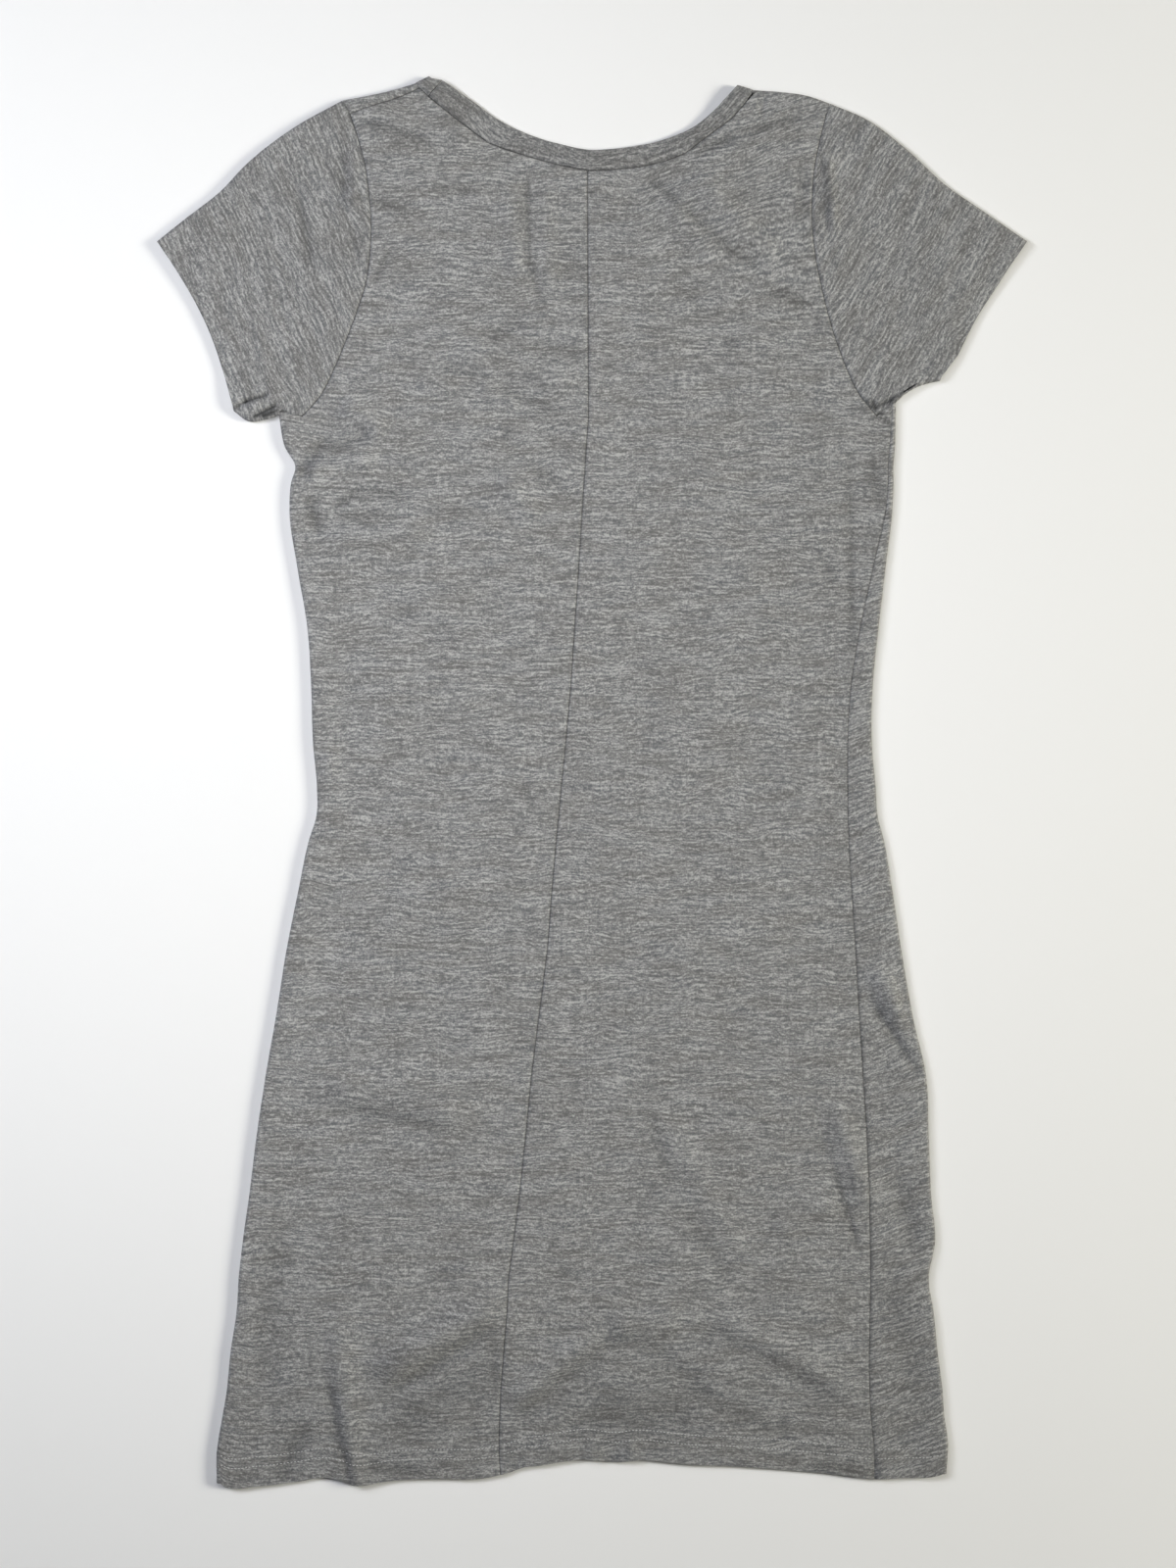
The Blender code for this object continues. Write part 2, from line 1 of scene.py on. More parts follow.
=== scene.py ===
"""Looks of a short-sleeved jersey t-shirt dress that lies flat on its front, with its back up.

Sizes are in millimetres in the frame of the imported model: +Z up from the table, +Y from hem to neck. They are
turned to metres where the meshes are made. Colours are linear.
"""

import bmesh
import bpy
import numpy as np
from mathutils import Matrix, Vector


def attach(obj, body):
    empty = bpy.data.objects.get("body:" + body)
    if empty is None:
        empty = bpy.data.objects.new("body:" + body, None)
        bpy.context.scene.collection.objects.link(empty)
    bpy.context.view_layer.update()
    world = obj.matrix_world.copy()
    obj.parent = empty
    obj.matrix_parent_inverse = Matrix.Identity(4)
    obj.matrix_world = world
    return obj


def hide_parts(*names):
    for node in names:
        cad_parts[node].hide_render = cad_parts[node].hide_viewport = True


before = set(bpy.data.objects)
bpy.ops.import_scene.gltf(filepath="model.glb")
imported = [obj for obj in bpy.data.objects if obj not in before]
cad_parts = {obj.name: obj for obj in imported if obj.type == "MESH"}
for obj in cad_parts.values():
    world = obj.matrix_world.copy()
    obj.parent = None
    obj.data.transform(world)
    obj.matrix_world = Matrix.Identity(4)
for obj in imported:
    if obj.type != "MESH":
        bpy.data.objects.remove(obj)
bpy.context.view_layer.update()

# Table, light and camera. The dress lies on a plain white table, under a weak lamp and the light of a window
# beyond its neck. A cooler lamp on its left and a warmer one on its right give it two soft shadows. The
# camera looks straight down.
MM = 0.001
TABLE_SIDE = 6000.0
TABLE_DROP = 0.05  # below the underside of the cloth
VIEW_CENTRE = (-2.5, -1.6)
VIEW_HEIGHT = 995.0  # what the picture spans from top to bottom
LENS, SENSOR = 50.0, 36.0


def table_finish():
    material = bpy.data.materials.new("table")
    material.use_nodes = True
    surface = material.node_tree.nodes["Principled BSDF"]
    surface.inputs["Base Color"].default_value = (0.82, 0.82, 0.82, 1)
    surface.inputs["Roughness"].default_value = 0.8
    return material


def lamp(name, place, aim, size, power, colour):
    """A square soft light at a place, turned to what it aims at."""
    light = bpy.data.lights.new(name, "AREA")
    light.shape = "SQUARE"
    light.size = size
    light.energy = power
    light.color = colour
    holder = bpy.data.objects.new(name, light)
    holder.location = place
    holder.rotation_euler = (Vector(aim) - Vector(place)).to_track_quat("-Z", "Y").to_euler()
    holder.visible_camera = False
    bpy.context.scene.collection.objects.link(holder)


def link_mesh(name, shape):
    """An object from a bmesh, which it frees."""
    mesh = bpy.data.meshes.new(name)
    shape.to_mesh(mesh)
    shape.free()
    made = bpy.data.objects.new(name, mesh)
    bpy.context.scene.collection.objects.link(made)
    return made


table_shape = bmesh.new()
bmesh.ops.create_grid(table_shape, x_segments=1, y_segments=1, size=TABLE_SIDE / 2 * MM)
bmesh.ops.translate(table_shape, verts=table_shape.verts, vec=(0, 0, -TABLE_DROP * MM))
table = link_mesh("table", table_shape)
table.data.materials.append(table_finish())

lamp("overhead", (-0.2, 0.1, 0.7), (-0.2, 0.1, 0), 0.5, 2.5, (0.98, 0.98, 1.0))
lamp("window", (-0.4, 1.8, 1.8), (0, 0, 0), 1.2, 1.6, (1.0, 1.0, 1.0))
lamp("left_lamp", (-1.3, 0.5, 1.15), (0, 0.05, 0), 0.6, 18.0, (0.9, 0.93, 1.0))
lamp("right_lamp", (2.6, 0.05, 1.32), (0, 0.05, 0), 0.8, 81, (1.0, 0.975, 0.86))
world = bpy.data.worlds.new("room")
world.use_nodes = True
world.node_tree.nodes["Background"].inputs["Color"].default_value = (0.95, 0.96, 1, 1)
world.node_tree.nodes["Background"].inputs["Strength"].default_value = 0.02
bpy.context.scene.world = world
bpy.context.scene.view_settings.view_transform = "Standard"

camera_data = bpy.data.cameras.new("camera")
camera_data.sensor_fit = "VERTICAL"
camera_data.sensor_height = SENSOR
camera_data.lens = LENS
camera = bpy.data.objects.new("camera", camera_data)
camera.location = (VIEW_CENTRE[0] * MM, VIEW_CENTRE[1] * MM, VIEW_HEIGHT * LENS / SENSOR * MM)
bpy.context.scene.collection.objects.link(camera)
bpy.context.scene.camera = camera

# Left back panel. Single jersey in heather grey, cut with its courses across the back. It is overlocked to
# the right panel down the middle, to the front under the left fold, and to the sleeve, shoulder and neckband.
LEFT, RIGHT = 0, 1
CLOTH = 0.9  # thickness of the jersey
HEM_CLOTH = 1.2  # its thickness where it is turned up and stitched
HEM_TURN = 20.0  # height of the turned edge
HEM_FADE = 70.0  # height over which the sections take up the uneven line of the hem
UNDERARM_Y = 231.0
CENTRE_AT_UNDERARM = -2.2  # x of the centre-back seam there
SIDE_IN = 15.0  # from the outline to the even columns of the body
FRONT_DEPTH = 112.0  # of the front neckline below its shoulder ends
BAND_WIDTH = 12.5

# Heights of the middle of each layer, and how the upper one settles away from a fold
LOWER_Z = CLOTH / 2
REST_Z = 2.4
LEAST_Z = LOWER_Z + CLOTH + 0.05  # lying on the lower layer
DIP_FLOOR = LOWER_Z + 0.1
INSIDE_NECK_Z = 0.9  # where the front is cut away and only the table is below
INSIDE_NECK_FADE = 26.0
OVER_BAND = 0.6  # rise near the neck, over the front neckband
OVER_BAND_Y, OVER_BAND_FADE = 295, 25
FOLD_R = 2.0
FOLD_TOP_Z = LOWER_Z + 2 * FOLD_R
FOLD_IN = CLOTH / 2 + FOLD_R  # from the outline to the crown of the fold
SETTLE = 24.0
CREASE_FADE, TUCK_FADE = 9.0, 2.5  # ridges and tucks fade this near to a fold

# Seams: the gap between two pieces, wider under the arm, and the look of each seam: the dip of the cloth beside
# it and the painted shade in it
SEAM_GAP = 0.3
CORNER_GAP, CORNER_REACH = 1.4, 4.0
SEAM_DIP_REACH, SEAM_SHADE_REACH = 0.85, 0.45
SEAM_LOOKS = (
    # dip of the cloth beside it, painted shade
    (0.52, 0.82),  # centre back
    (0.25, 0.38),  # right side
    (0.75, 0.95),  # neck
    (0.75, 0.95),  # left shoulder
    (0.75, 0.95),  # left armhole
    (0.75, 0.85),  # right armhole
)
NECK_SEAM = 2  # its row in SEAM_LOOKS
DARKEST = 0.95  # the most painted shade that a seam or a tuck gets
STITCH_ROWS = (13.0, 19.0)  # above the hem
STITCH, STITCH_PITCH, THREAD = 1.5, 2.2, 0.5  # length, distance and thickness
STITCH_FROM_SEAM = 1.6

# Points of the cloth that shows
STEP = 2.6
NEAR_SEAM = (0.0, 0.45, 1.0, 1.8, 3.0)
WELD = 0.01  # nearer than this, two are one
LINE_STEP = 8  # of lines that are only measured from
FLANK_LENGTH, OVER_LENGTH = 700, 220  # rough lengths of the outline below and above a sleeve

# Sections of the body from hem to underarm. The strip is what shows of the front at the right
BODY = (
    # y, left, right, centre, strip
    (-444.2, -237.5, 224.4, -57.7, 45.5),
    (-422.5, -237.4, 225.4, -58.9, 46.8),
    (-403.9, -234.4, 223.2, -58.6, 46.5),
    (-385.3, -231.3, 222, -57.7, 46.2),
    (-360.5, -228.8, 218.9, -55.8, 43.4),
    (-335.7, -225.1, 216.4, -53.9, 40.3),
    (-314.7, -223.8, 213.3, -53, 37),
    (-292.3, -221.3, 217.3, -49.9, 41.2),
    (-261.3, -217, 214.8, -45.9, 39.4),
    (-224.1, -212.4, 213.3, -41.9, 39.4),
    (-186.9, -206.8, 211.7, -38.4, 40),
    (-149.7, -200.3, 203.4, -33.8, 34.1),
    (-106.3, -193.4, 195.9, -28.2, 29.1),
    (-69.1, -186, 190.3, -25.4, 26),
    (-36.9, -179.2, 184.8, -22.6, 22.3),
    (-22, -174.6, 181, -21.2, 19),
    (-4, -174.2, 179.8, -19.5, 18),
    (23.9, -176.7, 177.3, -16.7, 15.5),
    (61.1, -177.9, 177.9, -13.3, 14),
    (98.3, -180.4, 181.7, -10.9, 11.8),
    (135.5, -186.6, 186, -8.4, 8.1),
    (172.7, -191.6, 190.3, -6.1, 4.3),
    (189, -190.6, 191, -5.1, 3.6),
    (200, -187.9, 191, -4.3, 3.6),
    (211.1, -194.1, 191.9, -3.7, 3.6),
)

# How far the hem lies above its lowest section at each x
HEM = (
    # x, rise
    (-237, 0),
    (-230.6, -2.7),
    (-212, -2.1),
    (-187.2, 0.4),
    (-169.9, 3.2),
    (-162.4, 2.6),
    (-158.1, 1.4),
    (-153.1, -0.5),
    (-148.2, -1.2),
    (-137.6, -0.4),
    (-129, 1),
    (-119, 1.8),
    (-95.5, 2.5),
    (-70.7, 2.6),
    (-62, 4.1),
    (-57, 5.2),
    (-49.6, 7.3),
    (-42.2, 10.2),
    (-36.6, 10.6),
    (-18, 13.6),
    (-1.2, 15),
    (6.2, 13.9),
    (16.1, 13),
    (25.4, 14.3),
    (34.7, 14.4),
    (47.1, 13.1),
    (65.7, 11.3),
    (84.3, 10.9),
    (121.5, 8.2),
    (158.7, 4.7),
    (179.2, 2.4),
    (199, 3.1),
    (211.4, 3.4),
    (224, 6),
)

# Armhole seams from underarm to shoulder: on the back, and how much further in on the front
ARMHOLE = (
    # y, left, right, front_in
    (231, -183.5, 180.4, 0),
    (246, -170.8, 168.5, 3),
    (262, -163, 161, 6),
    (280, -155.5, 154.4, 8.5),
    (298, -148.7, 149, 10),
    (316, -143, 144.6, 10.5),
    (334, -140.6, 141.2, 10.5),
    (352, -139.8, 139.4, 10),
    (370, -141, 139.4, 9),
    (388, -143.3, 140.8, 7),
    (404, -147.2, 143.8, 4),
    (422, -153, 148.3, 0),
)

# Outline of each shoulder from armhole to neck, and how far in from it the left shoulder seam lies
SHOULDER = (
    # left_x, left_y, right_x, right_y, seam_in
    (-158, 431.2, 150.7, 429.2, 10),
    (-142.7, 434, 136, 434.2, 7.4),
    (-127, 437.4, 118.5, 436.6, 6.4),
    (-112, 441.9, 102.3, 437.6, 4.4),
)
SHOULDER_SHARE = 1 / 3  # of the width of a panel, taken by its shoulder

# Back neckband from left to right: its seam and its free edge
NECK = (
    # seam_x, seam_y, edge_x, edge_y
    (-103.5, 433.4, -94.5, 443.5),
    (-84.3, 418.2, -76.3, 431.2),
    (-65.1, 404.5, -58.5, 418.8),
    (-39.7, 395.9, -35.3, 408.3),
    (-21.7, 390.9, -19.2, 403.6),
    (-2.9, 387.2, -1.9, 400.2),
    (13, 387.8, 12.4, 400.8),
    (31.3, 389.7, 28.5, 403),
    (47.1, 393.4, 42.2, 405.8),
    (59.5, 398.4, 53.9, 409.8),
    (71.9, 407.7, 64.5, 414.8),
    (88, 419.5, 78.7, 426.3),
    (94.9, 427, 85, 433),
)
CENTRE_SECTION = 5
EDGE_CORNERS = ((-103.5, 446.1), (92.3, 440.7))

# Sleeve outlines: over the shoulder from armhole to tip, under the arm from body to hem, and the hem
OVER_ARM = (
    # left_x, left_y, right_x, right_y
    (-158, 431.2, 150.7, 429.2),
    (-186.6, 415.4, 172.4, 420),
    (-218.2, 391.5, 197.8, 401.5),
    (-236, 373, 224.4, 377.3),
    (-256, 357.5, 246.8, 361.8),
    (-275.6, 341.9, 275.6, 341.9),
)
UNDER_ARM = (
    # left_x, left_y, right_x, right_y
    (-198.2, 232.2, 192.5, 240),
    (-207, 229.2, 199, 246),
    (-217, 228, 208, 250.6),
    (-226.5, 234.5, 219.9, 253.9),
)
SLEEVE_HEM = (
    # left_x, left_y, right_x, right_y
    (-232.5, 255.8, 231.5, 269.3),
    (-240.3, 279.3, 244.9, 295.4),
    (-251.1, 302.9, 255, 311),
    (-262.3, 322.1, 264.1, 325.2),
)

# Directions in which the folds lead in from the outline
SHOULDER_DIRECTIONS = ((0.48, -0.88), (-0.31, -0.95))
TIP_DIRECTIONS = ((0.57, -0.82), (-0.56, -0.83))
CORNER_DIRECTIONS = ((0.57, 0.82), (-0.89, 0.45))
CUFF_DIRECTIONS = ((-0.28, 0.96), (0.59, 0.81))
NECK_DIRECTIONS = ((0.72, -0.69), (-0.57, -0.82))
EDGE_DIRECTIONS = ((0.85, -0.53), (-0.69, -0.73))

# Soft ridges of the back and sleeves. Each fades at its ends
CREASES = (
    # x0, y0, x1, y1, half_width, height
    (-163, -318, -143, -520, 8, 2.6),
    (-142, -378, -52, -324, 10, 5),
    (-178, -190, -66, -211, 10, 3.8),
    (-146, -183, -54, -190, 6, 1.7),
    (172, -112, 224, -178, 8, 4.1),
    (153, -196, 176, -276, 7, 2.6),
    (112, -285, 158, -262, 10, 2.2),
    (-166, 30, -186, -45, 8, 2.9),
    (-160, 240, -128, 220, 7, 3.1),
    (-186, 199, -132, 203, 6, 3.4),
    (-174, 150, -96, 158, 8, 2.9),
    (-60, 192, -32, 164, 7, 2.2),
    (-74, 250, -44, 238, 5, 1.7),
    (-112, 250, -84, 253, 5, 1.4),
    (-90, 272, -4, 250, 9, 1.9),
    (-58, -398, 10, -344, 9, 2.6),
    (8, -344, 60, -340, 9, 2.4),
    (70, -334, 176, -392, 9, 2.1),
    (36, -196, 104, -318, 8, 1.4),
    (62, 386, 122, 326, 8, 2.2),
    (44, 372, 84, 322, 6, 1.2),
    (-52, 388, -48, 306, 5, 1.2),
    (-29, 386, -27, 306, 5, 1.1),
    (-150, 427, -104, 411, 4, 1.4),
    (-162, 366, -138, 374, 4, 1.9),
    (-150.5, 404, -151, 356, 3, 1.2),
    (147.5, 400, 153.5, 345, 3.2, 2.2),
    (0.6, -452, 0.6, -414, 4, 1.9),
    (26, -452, 24, -412, 4, 1.9),
    (-228, 232, -206, 240, 3.6, 1.9),
    (-80, 90, 30, 104, 9, 1.2),
    (20, 150, 120, 128, 10, 1.3),
    (-150, 62, -60, 48, 9, 1.3),
    (60, 30, 150, 46, 9, 1.2),
    (-140, -80, -30, -66, 11, 1.3),
    (40, -108, 140, -90, 11, 1.2),
)

# Troughs and short sharp tucks, with painted shade inside. The last row only paints shade on the lowest part of
# the skirt
TUCKS = (
    # x0, y0, x1, y1, half_width, depth, painted shade
    (-229, 234.3, -216, 242.4, 1.5, 1.5, 0.6),
    (-222, 239.4, -203, 245.8, 1.6, 1.8, 0.75),
    (-217, 228.8, -197, 239.6, 1.5, 1.5, 0.92),
    (-211, 229.8, -196.5, 235.6, 1.2, 1.3, 0.85),
    (176.5, 242.5, 180.8, 235, 1.4, 1.2, 0.8),
    (179.5, 236.2, 196, 245.4, 1.5, 1.6, 0.75),
    (170, 244, 192, 222.6, 1.3, 0.6, 0.6),
    (144.2, 402, 149.6, 372, 1.8, 0.9, 0.36),
    (149.4, 380, 148.6, 342, 1.8, 0.9, 0.32),
    (-160, 366, -140, 371.6, 1.8, 0.9, 0.24),
    (-1.8, 376.5, 0.2, 369.5, 1.4, 0.6, 0.4),
    (107.9, 437, 107.7, 418, 1.6, 1.1, 0.24),
    (-152, -457, -156.4, -420, 2.4, 1.7, 0.22),
    (-51, -448, -47, -424, 2.4, 1.2, 0.2),
    (10.8, -442, 11.4, -421, 2.2, 1.1, 0.2),
    (178.6, -448, 179.6, -424, 2.2, 0.9, 0.2),
    (-152, 420.5, -98, 403.5, 2.4, 0.72, 0.41),
    (-158.5, 408, -157.5, 362, 2.5, 0.72, 0.25),
    (-188, 380, -176, 321, 3, 0.84, 0.38),
    (-151, 348, -151, 322, 2.6, 0.48, 0.23),
    (-126, 340, -138, 314, 2.6, 0.6, 0.32),
    (-145, 370, -112, 357, 3, 0.6, 0.33),
    (-100, 374, -73, 375, 3, 0.6, 0.3),
    (-41.4, 388, -39.4, 322, 2.6, 0.84, 0.39),
    (-40, 336, -32, 300, 2.8, 0.72, 0.3),
    (-24, 322, 0, 324.5, 3.6, 0.6, 0.23),
    (-73, 278, -41, 294, 5.4, 0.8, 0.24),
    (-44, 275.5, 0, 269.5, 5.6, 0.8, 0.17),
    (-98, 263, -66, 256.5, 3.6, 0.6, 0.32),
    (-66, 252, -13, 231, 3.6, 0.6, 0.27),
    (-187, 189, -166, 221, 3.8, 1.56, 0.41),
    (-170, 206, -138, 223, 3.4, 1.08, 0.39),
    (-179, 183, -173, 155, 4, 0.96, 0.39),
    (-166, 171, -142, 187.5, 3.2, 0.84, 0.34),
    (-148, 187, -114, 178.5, 3.2, 0.84, 0.32),
    (-166, 168, -114, 167, 3.2, 0.6, 0.25),
    (-92, 174.5, -64, 170, 3.4, 0.6, 0.23),
    (-44, 205, -14, 183, 3.6, 0.6, 0.25),
    (-58, 226, -50, 215, 4.2, 0.48, 0.23),
    (-176, -204.6, -77, -225, 3.4, 1.2, 0.22),
    (-146, -197, -58, -200.6, 3.2, 0.6, 0.18),
    (173.5, -134, 210, -190, 2.8, 1.6, 0.32),
    (139, -198, 151, -246, 3, 0.6, 0.14),
    (150, -236, 170, -300, 1.8, 1.1, 0.5),
    (190, -246, 209, -304, 6, 1, 0.22),
    (183, -300, 215, -410, 10, 0.6, 0.17),
    (-138, -394, -57, -343, 4.6, 1.4, 0.26),
    (-169, -372, -155, -438, 3.4, 1.2, 0.28),
    (-178, -402, -200, -446, 6, 0.84, 0.32),
    (-56, -412, 12, -356, 7, 1.08, 0.19),
    (2, -357, 40, -353, 7, 0.96, 0.18),
    (32, -352, 78, -396, 6, 0.96, 0.18),
    (66, -388, 134, -420, 6, 0.84, 0.21),
    (63, -343, 124, -371, 4.5, 0.8, 0.14),
    (116, -367, 174, -405, 4.5, 0.7, 0.12),
    (33, -196, 53, -266, 3.6, 0.4, 0.16),
    (50, -258, 97, -330, 3.6, 0.4, 0.2),
    (132, -434.5, 180, -436, 3.4, 0.96, 0.28),
    (-148, -433.5, -106, -437, 4, 0.96, 0.25),
    (36, 383, 58, 364, 2.8, 0.84, 0.43),
    (54, 367, 92, 333, 2.8, 0.84, 0.41),
    (84, 339, 108, 325, 3, 0.72, 0.36),
    (110, 311.5, 139, 301, 3.2, 0.72, 0.35),
    (64, 395.5, 94, 410.5, 2.4, 0.84, 0.47),
    (88, 408, 137, 421.5, 2.4, 0.84, 0.49),
    (132.5, 398, 134.5, 347, 4, 0.6, 0.23),
    (85, 369, 119, 368, 3.2, 0.48, 0.18),
    (48, 321, 77, 292, 3.2, 0.48, 0.18),
    (82, 280, 95, 274, 3.6, 0.48, 0.23),
    (176, 206, 184, 170, 4.6, 0.6, 0.28),
    (143, 148, 156, 122, 4.2, 0.48, 0.23),
    (162.2, 220, 165.6, 56, 2.4, 0.36, 0.31),
    (-45, 2, -35, -24, 3.4, 0.48, 0.21),
    (-196, -262, -212, -400, 9, 0.3, 0.18),
    (-30, -404, 80, -402, 16, 0.6, 0.22),
    (-132, -414, -62, -372, 13, 0.5, 0.21),
    (-63, -346, -61, -394, 4, 0.4, 0.22),
    (-700, -452, 700, -452, 75, 0, 0.1),
)

# Low waves that keep the cloth from being flat
WAVES = (
    # wavelength, direction, height, phase
    (61.0, 0.35, 0.20, 0.4),
    (47.0, 1.75, 0.16, 2.1),
    (83.0, 2.60, 0.26, 4.0),
    (29.0, 1.20, 0.07, 1.3),
    (21.0, 2.85, 0.05, 5.2),
)


def smooth_step(value):
    value = np.clip(value, 0, 1)
    return value * value * (3 - 2 * value)


def unit(vector):
    return np.asarray(vector, float) / np.linalg.norm(vector)


def side_of(table, side):
    """The x and y columns of one side of a table that has both sides."""
    return np.array([row[2 * side : 2 * side + 2] for row in table])


def run_of(line):
    """Length along a line up to each of its points."""
    return np.concatenate([[0], np.cumsum(np.linalg.norm(np.diff(line, axis=0), axis=1))])


def through(points, run, wanted):
    """Values at the wanted places of the smooth line that has the given points at the places in run."""
    slope = np.gradient(points, run, axis=0)
    k = np.clip(np.searchsorted(run, wanted, side="right") - 1, 0, len(run) - 2)
    along = (-1,) + (1,) * (points.ndim - 1)
    gap = (run[k + 1] - run[k]).reshape(along)
    t = (wanted - run[k]).reshape(along) / gap
    a, b, p, q = points[k], points[k + 1], slope[k] * gap, slope[k + 1] * gap
    return a + t * (p + t * (3 * (b - a) - 2 * p - q + t * (2 * (a - b) + p + q)))


def smooth_line(points, shares):
    """Points at the given shares of the length of the smooth line through the given points."""
    given = np.asarray(points, float)
    run = run_of(given)
    fine = through(given, run, np.linspace(0, run[-1], 20 * len(given)))
    fine_run = run_of(fine)
    wanted = np.asarray(shares) * fine_run[-1]
    return np.column_stack([np.interp(wanted, fine_run, column) for column in fine.T])


def between(a, b, shares):
    """Points on the straight line from a to b."""
    share = np.asarray(shares)[:, None]
    return (1 - share) * np.asarray(a, float) + share * np.asarray(b, float)


def spread(length, seam_first=False, seam_last=False, step=STEP):
    """Shares of a length, a step apart and closer beside a seam."""
    near = np.array(NEAR_SEAM)
    start = near if seam_first else near[:1]
    end = length - (near if seam_last else near[:1])[::-1]
    count = max(round((end[0] - start[-1]) / step), 1)
    middle = np.linspace(start[-1], end[0], count + 1)
    return np.concatenate([start[:-1], middle, end[1:]]) / length


def denser(run, step):
    """The places in run with others between them, about a step apart."""
    parts = []
    for a, b in zip(run[:-1], run[1:]):
        parts.append(np.linspace(a, b, max(round((b - a) / step), 1), endpoint=False))
    return np.concatenate(parts + [run[-1:]])


def line_distance(plan, line):
    """Distance of each plan point from a chain of straight lines."""
    best = np.full(plan.shape[:-1], np.inf)
    for a, b in zip(line[:-1], line[1:]):
        along = np.clip(((plan - a) @ (b - a)) / ((b - a) @ (b - a)), 0, 1)
        foot = a + along[..., None] * (b - a)
        best = np.minimum(best, np.linalg.norm(plan - foot, axis=-1))
    return best


def shoulder_points(side, shares, inwards):
    """Plan points along a shoulder, a given way in from its outline, and the directions that lead in."""
    shares = np.asarray(shares)
    start, end = np.array(SHOULDER_DIRECTIONS[side]), np.array(NECK_DIRECTIONS[side])
    ways = np.array([unit(start + (end - start) * share) for share in shares])
    edge = smooth_line(side_of(SHOULDER, side), shares)
    return edge + ways * np.broadcast_to(inwards, len(shares))[:, None], ways


def shoulder_seam(shares):
    """Plan points of the left shoulder seam, from the armhole to the neck."""
    inwards = np.interp(shares, np.linspace(0, 1, len(SHOULDER)), [row[4] for row in SHOULDER])
    return shoulder_points(LEFT, shares, inwards)[0]


def armhole(side, front=False):
    """Plan points of an armhole seam from the underarm up, on the back or on the front."""
    inwards = (1, -1)[side]
    return np.array([(row[1 + side] + (inwards * row[3] if front else 0), row[0]) for row in ARMHOLE])


def neck_line(first, last):
    return np.array([row[:2] for row in NECK[first : last + 1]])


def front_neck():
    """Seam of the front neckband on the lower layer, from the left shoulder to the right."""
    ends = [shoulder_points(side, [1.0], FOLD_IN)[0][0] for side in (LEFT, RIGHT)]
    turn = np.linspace(-np.pi / 2, np.pi / 2, 41)[:, None]
    arc = (ends[0] + ends[1]) / 2 + (ends[1] - ends[0]) / 2 * np.sin(turn)
    return arc + np.array([0, -FRONT_DEPTH]) * np.cos(turn)


def fold_lines():
    """The outline wherever the cloth turns over from the back to the front."""
    lines = []
    for side in (LEFT, RIGHT):
        flank = np.array([(row[1 + side], row[0]) for row in BODY])
        flank = np.vstack([flank, side_of(UNDER_ARM, side)])
        lines.append(smooth_line(flank, spread(FLANK_LENGTH, step=LINE_STEP)))
        over = np.vstack([side_of(OVER_ARM, side)[::-1], side_of(SHOULDER, side)[1:], [EDGE_CORNERS[side]]])
        lines.append(smooth_line(over, spread(OVER_LENGTH, step=LINE_STEP)))
    return lines


def corner_of(side):
    """Under the arm: the outline, the crown of the fold there, and the end of the armhole."""
    edge = side_of(UNDER_ARM, side)[0]
    return edge, edge + unit(CORNER_DIRECTIONS[side]) * FOLD_IN, armhole(side)[0]


def seam_lines():
    """Seams that show on the upper layer."""
    centre = [(row[3], row[0]) for row in BODY] + [(CENTRE_AT_UNDERARM, UNDERARM_Y), NECK[CENTRE_SECTION][:2]]
    side_seam = [(row[2] - row[4], row[0]) for row in BODY] + [corner_of(RIGHT)[1]]
    neck = np.vstack([shoulder_seam([1.0]), neck_line(0, len(NECK) - 1)])
    lines = [np.array(centre), np.array(side_seam), neck, shoulder_seam(np.linspace(0, 1, 9))]
    for side in (LEFT, RIGHT):
        _, crown, end = corner_of(side)
        lines.append(np.vstack([[crown, end], smooth_line(armhole(side), np.linspace(0, 1, 40))[1:]]))
    return lines


def along_line(plan, x0, y0, x1, y1, half_width):
    """How much each plan point has of a soft line that fades at its ends: 1 on its middle."""
    start, way = np.array([x0, y0], float), np.array([x1 - x0, y1 - y0], float)
    along = (plan - start) @ way / (way @ way)
    across = (plan - start) @ np.array([-way[1], way[0]]) / np.linalg.norm(way)
    fade = 1 - smooth_step(np.abs(2 * along - 1) * 2 - 1)
    return fade * np.exp(-((across / half_width) ** 2))


def plain_upper_z(plan):
    """Height of the middle of the upper layer, without the dips beside its seams."""
    plan = np.asarray(plan, float)
    height = REST_Z + OVER_BAND * smooth_step((plan[..., 1] - OVER_BAND_Y) / OVER_BAND_FADE)
    for length, angle, tall, phase in WAVES:
        along = plan[..., 0] * np.cos(angle) + plan[..., 1] * np.sin(angle)
        height = height + tall * (1 + np.sin(along / length * 2 * np.pi + phase))
    neck = np.interp(plan[..., 0], FRONT_NECK[:, 0], FRONT_NECK[:, 1], left=999, right=999)
    inside = np.where(plan[..., 1] > neck, line_distance(plan, FRONT_NECK) - BAND_WIDTH, 0)
    inside = smooth_step(inside / INSIDE_NECK_FADE)
    height = height - (REST_Z + OVER_BAND - INSIDE_NECK_Z) * inside
    away = np.min([line_distance(plan, line) for line in FOLD_LINES], axis=0) - FOLD_IN
    height = height + (FOLD_TOP_Z - height) * (1 - smooth_step(away / SETTLE))
    creased = sum(tall * along_line(plan, *line) for *line, tall in CREASES)
    tucked = sum(deep * along_line(plan, *line) for *line, deep, shade in TUCKS)
    height = height + creased * smooth_step(away / CREASE_FADE) - tucked * smooth_step(away / TUCK_FADE)
    return np.maximum(height, LEAST_Z - CLOTH * inside)


def seam_dip(away, deep):
    """How far the cloth lies lower, at a distance from a seam."""
    return deep * np.exp(-((away / SEAM_DIP_REACH) ** 2))


